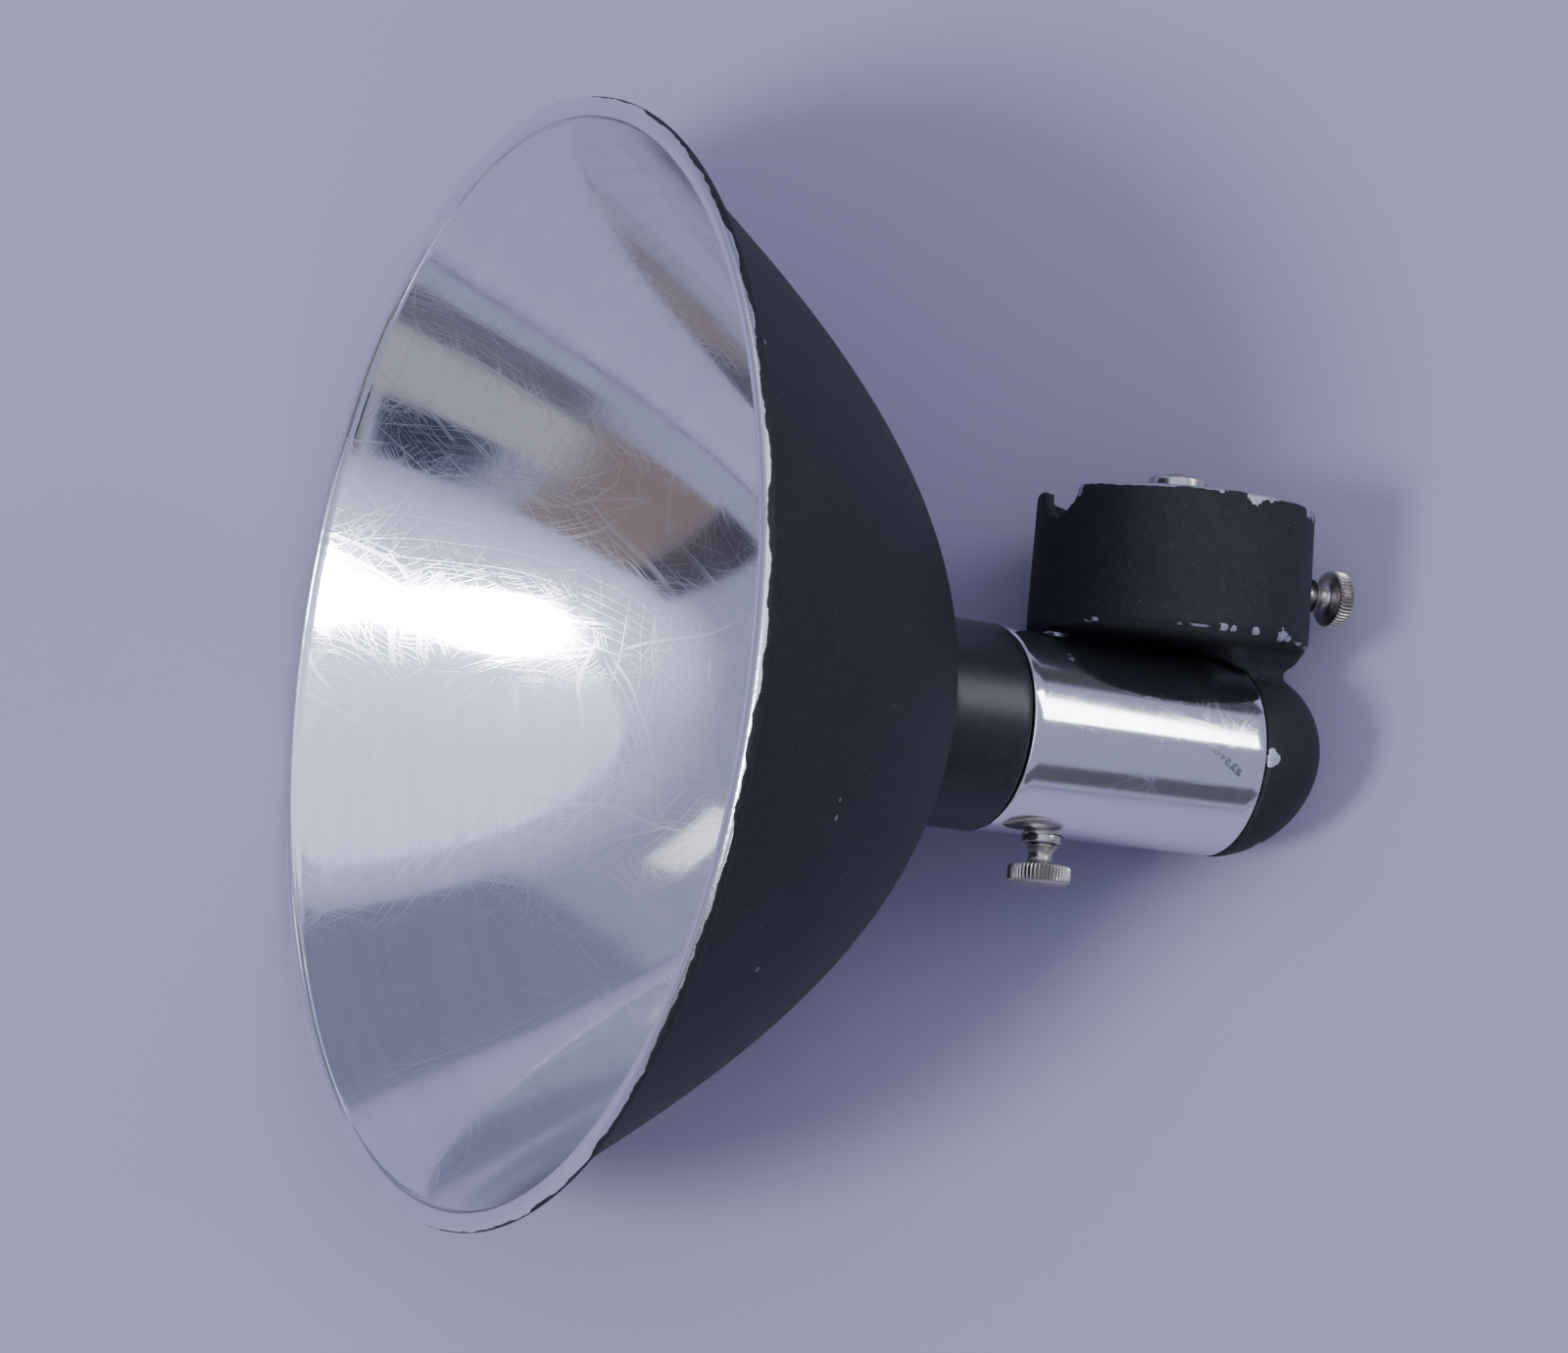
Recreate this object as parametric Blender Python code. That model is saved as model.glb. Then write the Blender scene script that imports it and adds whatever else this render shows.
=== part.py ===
# Flashbulb gun lamp head: a spun bowl reflector on a telescoping neck, a polished
# barrel, and a cast rear housing whose collar slips over the top of a battery case.
#
# Every piece is built in the head's own working frame:
#   +X  forward, out of the bowl, along the barrel's axis
#   -Z  down, out of the collar's open end, along the collar's axis
#   +Y  the head's far side
#   origin: where the barrel's axis crosses the collar's axis
# All pieces hang on one empty, which lays the head down as it rests on a table:
# on the bowl's lip and on the collar's open rim. World +Z is up from the table.

import bpy
import bmesh
from math import sin, cos, pi, radians, sqrt, atan2
from mathutils import Matrix, Vector, Euler

MM = 0.001
GAP = 0.3                     # clearance between neighbouring pieces

# ---------------------------------------------------------------- driving sizes (mm)
BOWL_R = 89.0                 # outside of the rolled lip, a 7 inch reflector
BOWL_DEPTH = 71.5             # lip plane to the (imaginary) pole of the outside
BOWL_WALL = 0.9
BOWL_SHAPE = 0.92             # 1 would be a true paraboloid
BOWL_POWER = 0.465
LIP_OVER = 1.5                # how far the lip turns out past the bowl's wall

BARREL_REAR = -11.0
BARREL_LENGTH = 44.0
BARREL_BORE = 14.8
BARREL_WALL_FRONT = 1.9       # the tube is a little thicker toward the bowl
BARREL_WALL_REAR = 1.2

SLIDE_GAP = 0.35              # telescoping sleeve in the barrel
SLEEVE_WALL = 1.05
SLEEVE_LENGTH = 30.0          # inside the barrel with the bowl fully in
NECK_LENGTH = 15.04
NECK_STEP = 0.3               # the neck stands out past the barrel
MOUTH_STEP = 1.0              # lip of the lamp opening inside the sleeve
FOCUS_TRAVEL = 15.0

CAP_WALL = 2.4
CAP_STEP = 0.2                # the domed end stands out past the barrel
SPIGOT_WALL = 2.5
SPIGOT_LENGTH = 8.0

COLLAR_R = 22.95              # at the open rim
COLLAR_DRAFT = 0.4            # the casting is wider at its closed end
COLLAR_WALL = 1.85
COLLAR_CLEAR = 2.0            # barrel to the collar's closed face
COLLAR_DEPTH = 23.2
COLLAR_CEILING = 2.4
NOTCH_R = 5.2
NOTCH_DEPTH = 4.8

ARM_HALF_WIDTH = 9.0

DISC_DROP = 4.2               # lead space between the ceiling and the plug's disc
DISC_THICK = 2.4
DISC_LAND = 1.8               # ring on the disc that meets the battery case, prouder than screws and flange
BOSS_RING = 14.0
PLUG_R = 4.9
PLUG_REACH = 4.6              # past the collar's rim
PLUG_STEM_R = 3.7
PLUG_FLANGE_R = 7.6
PLUG_WALL = 0.9

SCREW_SETBACK = 12.1          # barrel screw behind the barrel's front edge
HEAD_R = 5.15
KNURLS = 40
CLAMP_DROP = 11.6             # collar screw below the closed face
CLAMP_HEAD_R = 4.9
CLAMP_OUT = 3.2               # how far the collar screw stands unscrewed

SOCKET_BORE = 7.75            # bayonet socket, 15 mm single contact cap
SOCKET_WALL = 0.65
SOCKET_SETOUT = 27.0          # insulator's face ahead of the spigot
SOCKET_DEPTH = 22.0
HOLDER_WALL = 2.2

# sizes that follow
BARREL_FRONT = BARREL_REAR + BARREL_LENGTH
BARREL_R_FRONT = BARREL_BORE + BARREL_WALL_FRONT
BARREL_R_REAR = BARREL_BORE + BARREL_WALL_REAR
NECK_R = BARREL_R_FRONT + NECK_STEP
NECK_REAR = BARREL_FRONT + GAP
SLEEVE_R = BARREL_BORE - SLIDE_GAP
SLEEVE_BORE = SLEEVE_R - SLEEVE_WALL
SLEEVE_REAR = BARREL_FRONT - SLEEVE_LENGTH
MOUTH_R = SLEEVE_BORE - MOUTH_STEP
CAP_R = BARREL_R_REAR + CAP_STEP
SPIGOT_R = BARREL_BORE - GAP
SPIGOT_BORE = SPIGOT_R - SPIGOT_WALL
SPIGOT_FRONT = BARREL_REAR + SPIGOT_LENGTH
COLLAR_BORE = COLLAR_R - COLLAR_WALL
COLLAR_TOP = -(BARREL_R_REAR + COLLAR_CLEAR)
COLLAR_RIM = COLLAR_TOP - COLLAR_DEPTH
CEILING_Z = COLLAR_TOP - COLLAR_CEILING
ARM_REAR = -COLLAR_R + 2.35
DISC_TOP = CEILING_Z - DISC_DROP
PLUG_END = COLLAR_RIM - PLUG_REACH
PLUG_BORE = PLUG_R - PLUG_WALL
SCREW_X = BARREL_FRONT - SCREW_SETBACK
CLAMP_Z = COLLAR_TOP - CLAMP_DROP
SOCKET_R = SOCKET_BORE + SOCKET_WALL
SOCKET_REAR = SPIGOT_FRONT + SOCKET_SETOUT
SOCKET_FRONT = SOCKET_REAR + SOCKET_DEPTH

# how the head lies: world direction of its own axes
LAY_EULER = (-95.38, -28.73, 178.30)

# ---------------------------------------------------------------- helpers
for old in list(bpy.data.objects):
    bpy.data.objects.remove(old, do_unlink=True)

scene = bpy.context.scene
lay = bpy.data.objects.new("lay_down", None)
scene.collection.objects.link(lay)


def material(name, color, rough, metal):
    m = bpy.data.materials.new(name)
    m.use_nodes = True
    b = m.node_tree.nodes["Principled BSDF"]
    b.inputs["Base Color"].default_value = (*color, 1.0)
    b.inputs["Roughness"].default_value = rough
    b.inputs["Metallic"].default_value = metal
    return m


M_BOWL = material("polished_aluminium", (0.80, 0.80, 0.83), 0.16, 1.0)
M_BARREL = material("bright_barrel", (0.78, 0.78, 0.81), 0.20, 1.0)
M_ENAMEL = material("black_wrinkle_enamel", (0.022, 0.022, 0.026), 0.62, 0.0)
M_NECK = material("black_satin", (0.016, 0.016, 0.019), 0.42, 0.0)
M_NICKEL = material("nickel", (0.52, 0.49, 0.45), 0.27, 1.0)
M_STEEL = material("steel", (0.45, 0.45, 0.46), 0.34, 1.0)
M_BRASS = material("brass", (0.66, 0.50, 0.25), 0.34, 1.0)
M_FIBRE = material("moulded_phenolic", (0.030, 0.022, 0.018), 0.40, 0.0)
M_LEAD_R = material("lead_red", (0.30, 0.035, 0.030), 0.55, 0.0)
M_LEAD_B = material("lead_black", (0.020, 0.020, 0.020), 0.55, 0.0)
M_SPRING = material("spring_steel", (0.40, 0.40, 0.41), 0.30, 1.0)


def add(name, bm, mat, at=(0, 0, 0), turn=(0, 0, 0), sharp=32.0):
    """Link one closed body, placed by its own location and rotation (mm, degrees)."""
    bmesh.ops.recalc_face_normals(bm, faces=bm.faces)
    me = bpy.data.meshes.new(name)
    bmesh.ops.scale(bm, vec=(MM, MM, MM), verts=bm.verts)
    bm.to_mesh(me)
    bm.free()
    me.materials.append(mat)
    me.shade_smooth()
    me.set_sharp_from_angle(angle=radians(sharp))
    ob = bpy.data.objects.new(name, me)
    scene.collection.objects.link(ob)
    ob.parent = lay
    ob.location = Vector(at) * MM
    ob.rotation_euler = Euler([radians(a) for a in turn])
    return ob


def turned(profile, segs=48, axis="X", knurl=None):
    """Closed turned body. profile: (s, r) round the section, r = 0 on the axis.
    An entry may hold its own segment count, a whole multiple of its neighbours',
    and a knurl depth that pulls in every other point."""
    bm = bmesh.new()
    rings = []
    for p in profile:
        s, r = p[0], p[1]
        n = p[2] if len(p) > 2 else segs
        dip = p[3] if len(p) > 3 else 0.0
        if r <= 1e-6:
            pts = [(s, 0.0, 0.0)]
        else:
            pts = []
            for i in range(n):
                a = 2 * pi * i / n
                q = r - (dip if i % 2 else 0.0)
                pts.append((s, q * cos(a), q * sin(a)))
        vs = []
        for (x, y, z) in pts:
            if axis == "X":
                vs.append(bm.verts.new((x, y, z)))
            else:
                vs.append(bm.verts.new((y, z, x)))
        rings.append(vs)
    closed = profile[0][1] > 1e-6
    pairs = [(i, i + 1) for i in range(len(rings) - 1)]
    if closed:
        pairs.append((len(rings) - 1, 0))
    for i, j in pairs:
        a, b = rings[i], rings[j]
        if len(a) < len(b):
            a, b = b, a
        na, nb = len(a), len(b)
        if nb == 1:
            for k in range(na):
                bm.faces.new((a[k], a[(k + 1) % na], b[0]))
        elif na == nb:
            for k in range(na):
                bm.faces.new((a[k], a[(k + 1) % na], b[(k + 1) % nb], b[k]))
        else:
            m = na // nb
            for k in range(nb):
                half = m // 2
                for t in range(m):
                    v0, v1 = a[(k * m + t) % na], a[(k * m + t + 1) % na]
                    apex = b[k] if t < half else b[(k + 1) % nb]
                    bm.faces.new((v0, v1, apex))
                bm.faces.new((a[(k * m + half) % na], b[(k + 1) % nb], b[k]))
    return bm


def cylinder(r, s0, s1, axis="Z", segs=32, centre=(0, 0)):
    bm = turned([(s0, 0), (s0, r), (s1, r), (s1, 0)], segs, "X" if axis == "X" else "Z")
    # corners turned off the neighbouring bodies' own corners
    bmesh.ops.rotate(bm, cent=(0, 0, 0), verts=bm.verts,
                     matrix=Matrix.Rotation(0.37 * 2 * pi / segs, 3, "X" if axis == "X" else "Z"))
    if axis == "Y":
        bmesh.ops.rotate(bm, cent=(0, 0, 0), matrix=Matrix.Rotation(radians(-90), 3, "X"), verts=bm.verts)
        bmesh.ops.translate(bm, vec=(centre[0], 0, centre[1]), verts=bm.verts)
    elif axis == "X":
        bmesh.ops.translate(bm, vec=(0, centre[0], centre[1]), verts=bm.verts)
    else:
        bmesh.ops.translate(bm, vec=(centre[0], centre[1], 0), verts=bm.verts)
    return bm


def block(lo, hi, bevel=0.0, segs=3, only=None):
    bm = bmesh.new()
    bmesh.ops.create_cube(bm, size=1.0)
    for v in bm.verts:
        v.co = Vector([lo[i] + (v.co[i] + 0.5) * (hi[i] - lo[i]) for i in range(3)])
    if bevel > 0:
        edges = [e for e in bm.edges if only is None or only(e)]
        bmesh.ops.bevel(bm, geom=edges, offset=bevel, segments=segs, profile=0.5, affect="EDGES")
    return bm


def combine(base, tools):
    """base and tools are bmeshes in mm; tools are (operation, bmesh). Exact solver."""
    def temp(bm):
        bmesh.ops.recalc_face_normals(bm, faces=bm.faces)
        me = bpy.data.meshes.new("work")
        bm.to_mesh(me)
        bm.free()
        ob = bpy.data.objects.new("work", me)
        scene.collection.objects.link(ob)
        return ob
    body = temp(base)
    for op, tool in tools:
        t = temp(tool)
        mod = body.modifiers.new("cut", "BOOLEAN")
        mod.operation = op
        mod.solver = "EXACT"
        mod.object = t
        dg = bpy.context.evaluated_depsgraph_get()
        me = bpy.data.meshes.new_from_object(body.evaluated_get(dg))
        body.modifiers.clear()
        body.data = me
        bpy.data.objects.remove(t, do_unlink=True)
    out = bmesh.new()
    out.from_mesh(body.data)
    bpy.data.objects.remove(body, do_unlink=True)
    bmesh.ops.remove_doubles(out, verts=out.verts, dist=0.00002)
    bmesh.ops.dissolve_degenerate(out, edges=out.edges, dist=0.00002)
    bmesh.ops.triangulate(out, faces=[f for f in out.faces if len(f.verts) > 4])
    return out


def arc(cx, cy, r, a0, a1, n):
    return [(cx + r * cos(radians(a0 + (a1 - a0) * i / n)), cy + r * sin(radians(a0 + (a1 - a0) * i / n)))
            for i in range(n + 1)]


def tube(points, r, n=10, closed_ends=True):
    """Round bar swept along points (parallel-transported rings), flat ends."""
    bm = bmesh.new()
    pts = [Vector(p) for p in points]
    tan = []
    for i in range(len(pts)):
        a = pts[max(i - 1, 0)]
        b = pts[min(i + 1, len(pts) - 1)]
        tan.append((b - a).normalized())
    ref = tan[0].orthogonal().normalized()
    rings = []
    for i, p in enumerate(pts):
        ref = (ref - tan[i] * ref.dot(tan[i])).normalized()
        side = tan[i].cross(ref)
        rings.append([bm.verts.new(p + r * (cos(2 * pi * k / n) * ref + sin(2 * pi * k / n) * side))
                      for k in range(n)])
    for a, b in zip(rings, rings[1:]):
        for k in range(n):
            bm.faces.new((a[k], a[(k + 1) % n], b[(k + 1) % n], b[k]))
    bm.faces.new(rings[0])
    bm.faces.new(rings[-1])
    return bm


def smooth_path(ctrl, steps=5):
    """Catmull-Rom curve through the control points."""
    c = [Vector(p) for p in ctrl]
    c = [c[0] * 2 - c[1]] + c + [c[-1] * 2 - c[-2]]
    out = []
    for i in range(1, len(c) - 2):
        for k in range(steps):
            t = k / steps
            p0, p1, p2, p3 = c[i - 1], c[i], c[i + 1], c[i + 2]
            out.append(0.5 * ((2 * p1) + (p2 - p0) * t + (2 * p0 - 5 * p1 + 4 * p2 - p3) * t * t
                              + (3 * p1 - p0 - 3 * p2 + p3) * t ** 3))
    out.append(c[-2])
    return out


# ---------------------------------------------------------------- reflector bowl
BOWL_EDGE_R = BOWL_R - LIP_OVER


def bowl_outside(d):
    """Radius of the bowl's outside at depth d behind the lip plane."""
    return BOWL_EDGE_R * max(1 - (d / BOWL_DEPTH) ** BOWL_SHAPE, 0.0) ** BOWL_POWER


def bowl_depth_at(r):
    return BOWL_DEPTH * (1 - (r / BOWL_EDGE_R) ** (1 / BOWL_POWER)) ** (1 / BOWL_SHAPE)


BOWL_SEGS = 60
SEAT_R = NECK_R - 0.9
seat_depth = bowl_depth_at(SEAT_R)
rows = 10
outer = []
for i in range(rows + 1):
    r = BOWL_EDGE_R - 0.5 + (SEAT_R - BOWL_EDGE_R + 0.5) * (i / rows)
    outer.append((bowl_depth_at(r), r))
# the inside is the outside moved in by the wall, measured square to the surface
inner = []
for (d, r) in outer:
    e = 0.05
    d0, d1 = bowl_depth_at(min(r + e, BOWL_EDGE_R)), bowl_depth_at(r - e)
    t = Vector((d1 - d0, -(min(r + e, BOWL_EDGE_R) - (r - e)))).normalized()
    inner.append((d - BOWL_WALL * abs(t.y), r - BOWL_WALL * abs(t.x)))
# rolled lip: rounds outward and back over the bowl's edge
lip = [(0.35, BOWL_EDGE_R - 2.2), (-0.35, BOWL_EDGE_R - 1.2), (-0.55, BOWL_EDGE_R - 0.1),
       (-0.35, BOWL_EDGE_R + 0.9), (0.35, BOWL_EDGE_R + 1.45), (1.15, BOWL_EDGE_R + 1.35),
       (1.75, BOWL_EDGE_R + 0.75), (1.95, BOWL_EDGE_R + 0.05)]
inner = [(d, r) for (d, r) in inner if d > 1.6]
outer = [(d, r) for (d, r) in outer if d > 2.6]
seat_x = NECK_REAR + NECK_LENGTH + GAP + 0.2
LIP_X = seat_x + outer[-1][0]          # lip plane
prof = [(LIP_X - d, r) for (d, r) in lip] + [(LIP_X - d, r) for (d, r) in outer]
# flat foot that the neck and its lock ring clamp
prof += [(seat_x - 0.2, SEAT_R - 0.6), (seat_x - 0.2, MOUTH_R + 1.7), (seat_x + 0.8, MOUTH_R + 1.7)]
prof += [(LIP_X - d, r) for (d, r) in reversed(inner)]
bowl = add("reflector_bowl", turned(prof, BOWL_SEGS), M_BOWL, sharp=40)
FOOT_REAR, FOOT_FRONT = seat_x - 0.2, seat_x + 0.8


# ---------------------------------------------------------------- neck and sleeve
NOSE_R = MOUTH_R + 1.4
NOSE_FRONT = FOOT_FRONT + 2.1
neck_front = FOOT_REAR - GAP
prof = [(NECK_REAR, SLEEVE_R), (NECK_REAR, NECK_R - 0.9), (NECK_REAR + 0.3, NECK_R - 0.3),
        (NECK_REAR + 1.0, NECK_R), (neck_front - 3.0, NECK_R), (neck_front - 1.0, NECK_R - 0.25),
        (neck_front, NECK_R - 0.8), (neck_front, NOSE_R),
        (NOSE_FRONT - 0.3, NOSE_R), (NOSE_FRONT, NOSE_R - 0.3), (NOSE_FRONT, MOUTH_R + 0.3),
        (NOSE_FRONT - 0.3, MOUTH_R), (neck_front - 1.5, MOUTH_R), (neck_front - 2.5, SLEEVE_BORE),
        (SLEEVE_REAR, SLEEVE_BORE), (SLEEVE_REAR, SLEEVE_R - 0.3), (SLEEVE_REAR + 0.3, SLEEVE_R)]
PIN_R = 1.4
slot0 = SCREW_X - FOCUS_TRAVEL - PIN_R - 0.4
slot1 = SCREW_X + PIN_R + 0.4
slot = block((slot0, -PIN_R - 0.35, -SLEEVE_R - 1.5), (slot1, PIN_R + 0.35, -SLEEVE_BORE + 2.5),
             PIN_R + 0.3, 3, lambda e: abs(e.verts[0].co.z - e.verts[1].co.z) > 1)
neck = add("reflector_neck", combine(turned(prof, 40), [("DIFFERENCE", slot)]), M_NECK)

# ring nut on the neck's nose, inside the bowl
prof = [(FOOT_FRONT + GAP, NOSE_R + GAP), (FOOT_FRONT + GAP, NOSE_R + 1.9), (FOOT_FRONT + 1.5, NOSE_R + 1.9),
        (FOOT_FRONT + 1.9, NOSE_R + 1.5), (FOOT_FRONT + 1.9, NOSE_R + GAP)]
ring_cuts = []
for k in range(4):
    c = block((FOOT_FRONT + 1.1, NOSE_R - 0.6, -0.8), (FOOT_FRONT + 3, NOSE_R + 4, 0.8))
    bmesh.ops.rotate(c, cent=(0, 0, 0), matrix=Matrix.Rotation(radians(45 + 90 * k), 3, "X"), verts=c.verts)
    ring_cuts.append(("DIFFERENCE", c))
add("bowl_ring_nut", combine(turned(prof, 36), ring_cuts), M_BRASS)

# ---------------------------------------------------------------- barrel
def barrel_r(x):
    return BARREL_R_REAR + (BARREL_R_FRONT - BARREL_R_REAR) * (x - BARREL_REAR) / (BARREL_FRONT - BARREL_REAR)


prof = [(BARREL_REAR, BARREL_BORE), (BARREL_REAR, BARREL_R_REAR - 0.3), (BARREL_REAR + 0.3, BARREL_R_REAR),
        (BARREL_FRONT - 0.45, BARREL_R_FRONT), (BARREL_FRONT, BARREL_R_FRONT - 0.45),
        (BARREL_FRONT, BARREL_BORE + 0.3), (BARREL_FRONT - 0.3, BARREL_BORE)]
FIX_X = (BARREL_REAR + SPIGOT_FRONT) / 2
FIX_ANGLES = (52.0, 128.0)            # both on the far side
FIX_R = 1.05                          # small screws throughout
SPOT_Z = barrel_r(SCREW_X) - 0.35
BUSH_FLANGE_R = 3.25
BUSH_SPIGOT_R = 2.75
tools = [("DIFFERENCE", cylinder(BUSH_SPIGOT_R + GAP, BARREL_BORE - 3, BARREL_R_FRONT + 3, "Z", 24, (SCREW_X, 0))),
         ("DIFFERENCE", cylinder(BUSH_FLANGE_R + 0.35, SPOT_Z, BARREL_R_FRONT + 3, "Z", 32, (SCREW_X, 0))),
         ("DIFFERENCE", cylinder(PIN_R + GAP, -BARREL_R_FRONT - 3, -BARREL_BORE + 3, "Z", 20, (SCREW_X, 0)))]
for a in FIX_ANGLES:
    c = cylinder(FIX_R + GAP, SPIGOT_BORE - 2, BARREL_R_FRONT + 3, "Z", 16)
    bmesh.ops.rotate(c, cent=(0, 0, 0), matrix=Matrix.Rotation(radians(-a), 3, "X"), verts=c.verts)
    bmesh.ops.translate(c, vec=(FIX_X, 0, 0), verts=c.verts)
    tools.append(("DIFFERENCE", c))
add("barrel", combine(turned(prof, 48), tools), M_BARREL)

# ---------------------------------------------------------------- rear housing casting
CAP_LEAN = 0.13               # the dome's crown leans toward the collar
CAP_STRETCH = 1.07


def lean(bm):
    for v in bm.verts:
        d = v.co.x - (BARREL_REAR - GAP)
        if d < 0:
            v.co.x = BARREL_REAR - GAP + d * CAP_STRETCH
            v.co.z += d * CAP_LEAN
    return bm


dome = [(BARREL_REAR - CAP_R, 0)]
for (x, r) in arc(BARREL_REAR, 0, CAP_R, 180, 90, 8)[1:]:
    dome.append((x, r))
dome = dome[:-1] + [(BARREL_REAR - GAP, CAP_R - 0.1), (BARREL_REAR - GAP, SPIGOT_R),
                    (SPIGOT_FRONT, SPIGOT_R), (SPIGOT_FRONT, 0)]
hollow = [(BARREL_REAR - CAP_R + CAP_WALL, 0)]
for (x, r) in arc(BARREL_REAR, 0, CAP_R - CAP_WALL, 180, 95, 5)[1:]:
    hollow.append((x, r))
hollow += [(BARREL_REAR + 1.0, SPIGOT_BORE), (SPIGOT_FRONT + 2, SPIGOT_BORE), (SPIGOT_FRONT + 2, 0)]
edge = 1.9
cup = [(COLLAR_TOP, 0)]
for (r, z) in arc(COLLAR_R + COLLAR_DRAFT - edge, COLLAR_TOP - edge, edge, 90, 0, 3):
    cup.append((z, r))
cup += [(COLLAR_RIM + 0.4, COLLAR_R), (COLLAR_RIM, COLLAR_R - 0.4), (COLLAR_RIM, 0)]
bore = [(CEILING_Z, 0), (CEILING_Z, COLLAR_BORE - 0.8),
        (CEILING_Z - 0.8, COLLAR_BORE), (COLLAR_RIM + 0.3, COLLAR_BORE),
        (COLLAR_RIM - 0.3, COLLAR_BORE + 0.4), (COLLAR_RIM - 3, COLLAR_BORE + 0.4), (COLLAR_RIM - 3, 0)]
upright = lambda e: abs(e.verts[0].co.z - e.verts[1].co.z) > 1
foot = block((ARM_REAR, -ARM_HALF_WIDTH - 1.5, COLLAR_TOP - 5.0),
             (BARREL_REAR + 4.0, ARM_HALF_WIDTH + 1.5, -BARREL_R_REAR + 0.7), 2.5, 3)
web = block((BARREL_REAR - 7.4, -ARM_HALF_WIDTH, COLLAR_TOP - 1.0),
            (BARREL_REAR + 3.0, ARM_HALF_WIDTH, -BARREL_R_REAR + 10), 2.6, 3, upright)
arm = combine(foot, [("UNION", web),
                     ("DIFFERENCE", cylinder(BARREL_R_REAR + 0.5, BARREL_REAR - GAP, BARREL_REAR + 23, "X", 48))])
NOTCH_ANGLE = -2.0
notch = cylinder(NOTCH_R, COLLAR_R - 13, COLLAR_R + 7, "X", 24, (0, COLLAR_RIM + NOTCH_DEPTH - NOTCH_R))
bmesh.ops.rotate(notch, cent=(0, 0, 0), matrix=Matrix.Rotation(radians(NOTCH_ANGLE), 3, "Z"), verts=notch.verts)
DUCT_X = BARREL_REAR - 3.6
DUCT_R = 2.6
tools = [("UNION", arm), ("UNION", turned(cup, 56, "Z")), ("DIFFERENCE", lean(turned(hollow, 32))),
         ("DIFFERENCE", turned(bore, 48, "Z")), ("DIFFERENCE", notch),
         ("DIFFERENCE", cylinder(DUCT_R, CEILING_Z - 1, -CAP_R + 8.2, "Z", 20, (DUCT_X, 0)))]
BOSS_ANGLES = (0.0, 120.0, 240.0)
boss_z = DISC_TOP + GAP
for a in BOSS_ANGLES:
    at = (BOSS_RING * cos(radians(a)), BOSS_RING * sin(radians(a)))
    tools.append(("UNION", cylinder(3.0, boss_z, CEILING_Z + 0.5, "Z", 20, at)))
    tools.append(("DIFFERENCE", cylinder(FIX_R + GAP, boss_z - 1, CEILING_Z - 0.5, "Z", 16, at)))
for a in FIX_ANGLES:
    c = cylinder(FIX_R + GAP, SPIGOT_BORE - 2, BARREL_R_FRONT + 3, "Z", 16)
    bmesh.ops.rotate(c, cent=(0, 0, 0), matrix=Matrix.Rotation(radians(-a), 3, "X"), verts=c.verts)
    bmesh.ops.translate(c, vec=(FIX_X, 0, 0), verts=c.verts)
    tools.append(("DIFFERENCE", c))
CLAMP_SHANK_R = 1.8
tools.append(("DIFFERENCE", cylinder(CLAMP_SHANK_R + GAP, -COLLAR_R - 7, -COLLAR_BORE + 3, "X", 24, (0, CLAMP_Z))))
add("rear_housing", combine(lean(turned(dome, 40)), tools), M_ENAMEL, sharp=38)

# ---------------------------------------------------------------- guide pin
pin_head = -barrel_r(SCREW_X) - GAP
prof = [(-SLEEVE_BORE + 0.2, 0), (-SLEEVE_BORE + 0.2, PIN_R - 0.3), (-SLEEVE_BORE - 0.1, PIN_R), (pin_head, PIN_R),
        (pin_head, 2.3), (pin_head - 0.35, 2.1), (pin_head - 0.55, 1.3), (pin_head - 0.6, 0)]
add("guide_pin", turned(prof, 20, "Z"), M_STEEL, at=(SCREW_X, 0, 0))


def thumb_screw(head_r, knurls, tip, shank_r, flange, waist_r, waist_top, head_h, tip_r):
    """Profile along +s: tip, plain shank, waisted shoulder, knurled head."""
    k = knurls * 2
    n = k // 4
    dip = 0.28
    p = [(tip, 0, n), (tip, tip_r, n), (tip + 0.3, shank_r, n), (flange, shank_r, n), (flange, waist_r + 1.1, n),
         (flange + 0.5, waist_r + 0.35, n), (flange + 1.2, waist_r, n), (waist_top - 1.0, waist_r, n),
         (waist_top - 0.35, waist_r + 0.35, n), (waist_top, waist_r + 1.3, n),
         (waist_top + 0.1, head_r - 0.75, k), (waist_top + 0.45, head_r, k, dip),
         (waist_top + head_h - 0.45, head_r, k, dip), (waist_top + head_h - 0.05, head_r - 0.6, k),
         (waist_top + head_h + 0.25, head_r * 0.42, n), (waist_top + head_h + 0.3, 0, n)]
    return p


# ---------------------------------------------------------------- barrel thumb screw
BUSH_BASE = SPOT_Z + 0.1
BUSH_TOP = BUSH_BASE + 1.45
SHANK_R = 1.75
BUSH_BORE = SHANK_R + GAP
prof = [(BARREL_BORE + 0.25, BUSH_BORE), (BARREL_BORE + 0.25, BUSH_SPIGOT_R), (BUSH_BASE, BUSH_SPIGOT_R),
        (BUSH_BASE, BUSH_FLANGE_R), (BUSH_TOP - 0.5, BUSH_FLANGE_R), (BUSH_TOP, BUSH_FLANGE_R - 0.5),
        (BUSH_TOP, BUSH_BORE)]
add("barrel_screw_bush", turned(prof, 32, "Z"), M_NICKEL, at=(SCREW_X, 0, 0))
PAD_R = 1.75
pad0 = SLEEVE_R + GAP
pad1 = pad0 + 0.7
add("barrel_pressure_pad", turned([(pad0, 0), (pad0, PAD_R), (pad1, PAD_R), (pad1, 0)], 20, "Z"),
    M_BRASS, at=(SCREW_X, 0, 0))
prof = thumb_screw(HEAD_R, KNURLS, pad1 + 0.15, SHANK_R, BUSH_TOP + GAP, 1.95, BUSH_TOP + 3.3, 3.2, 1.3)
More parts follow.
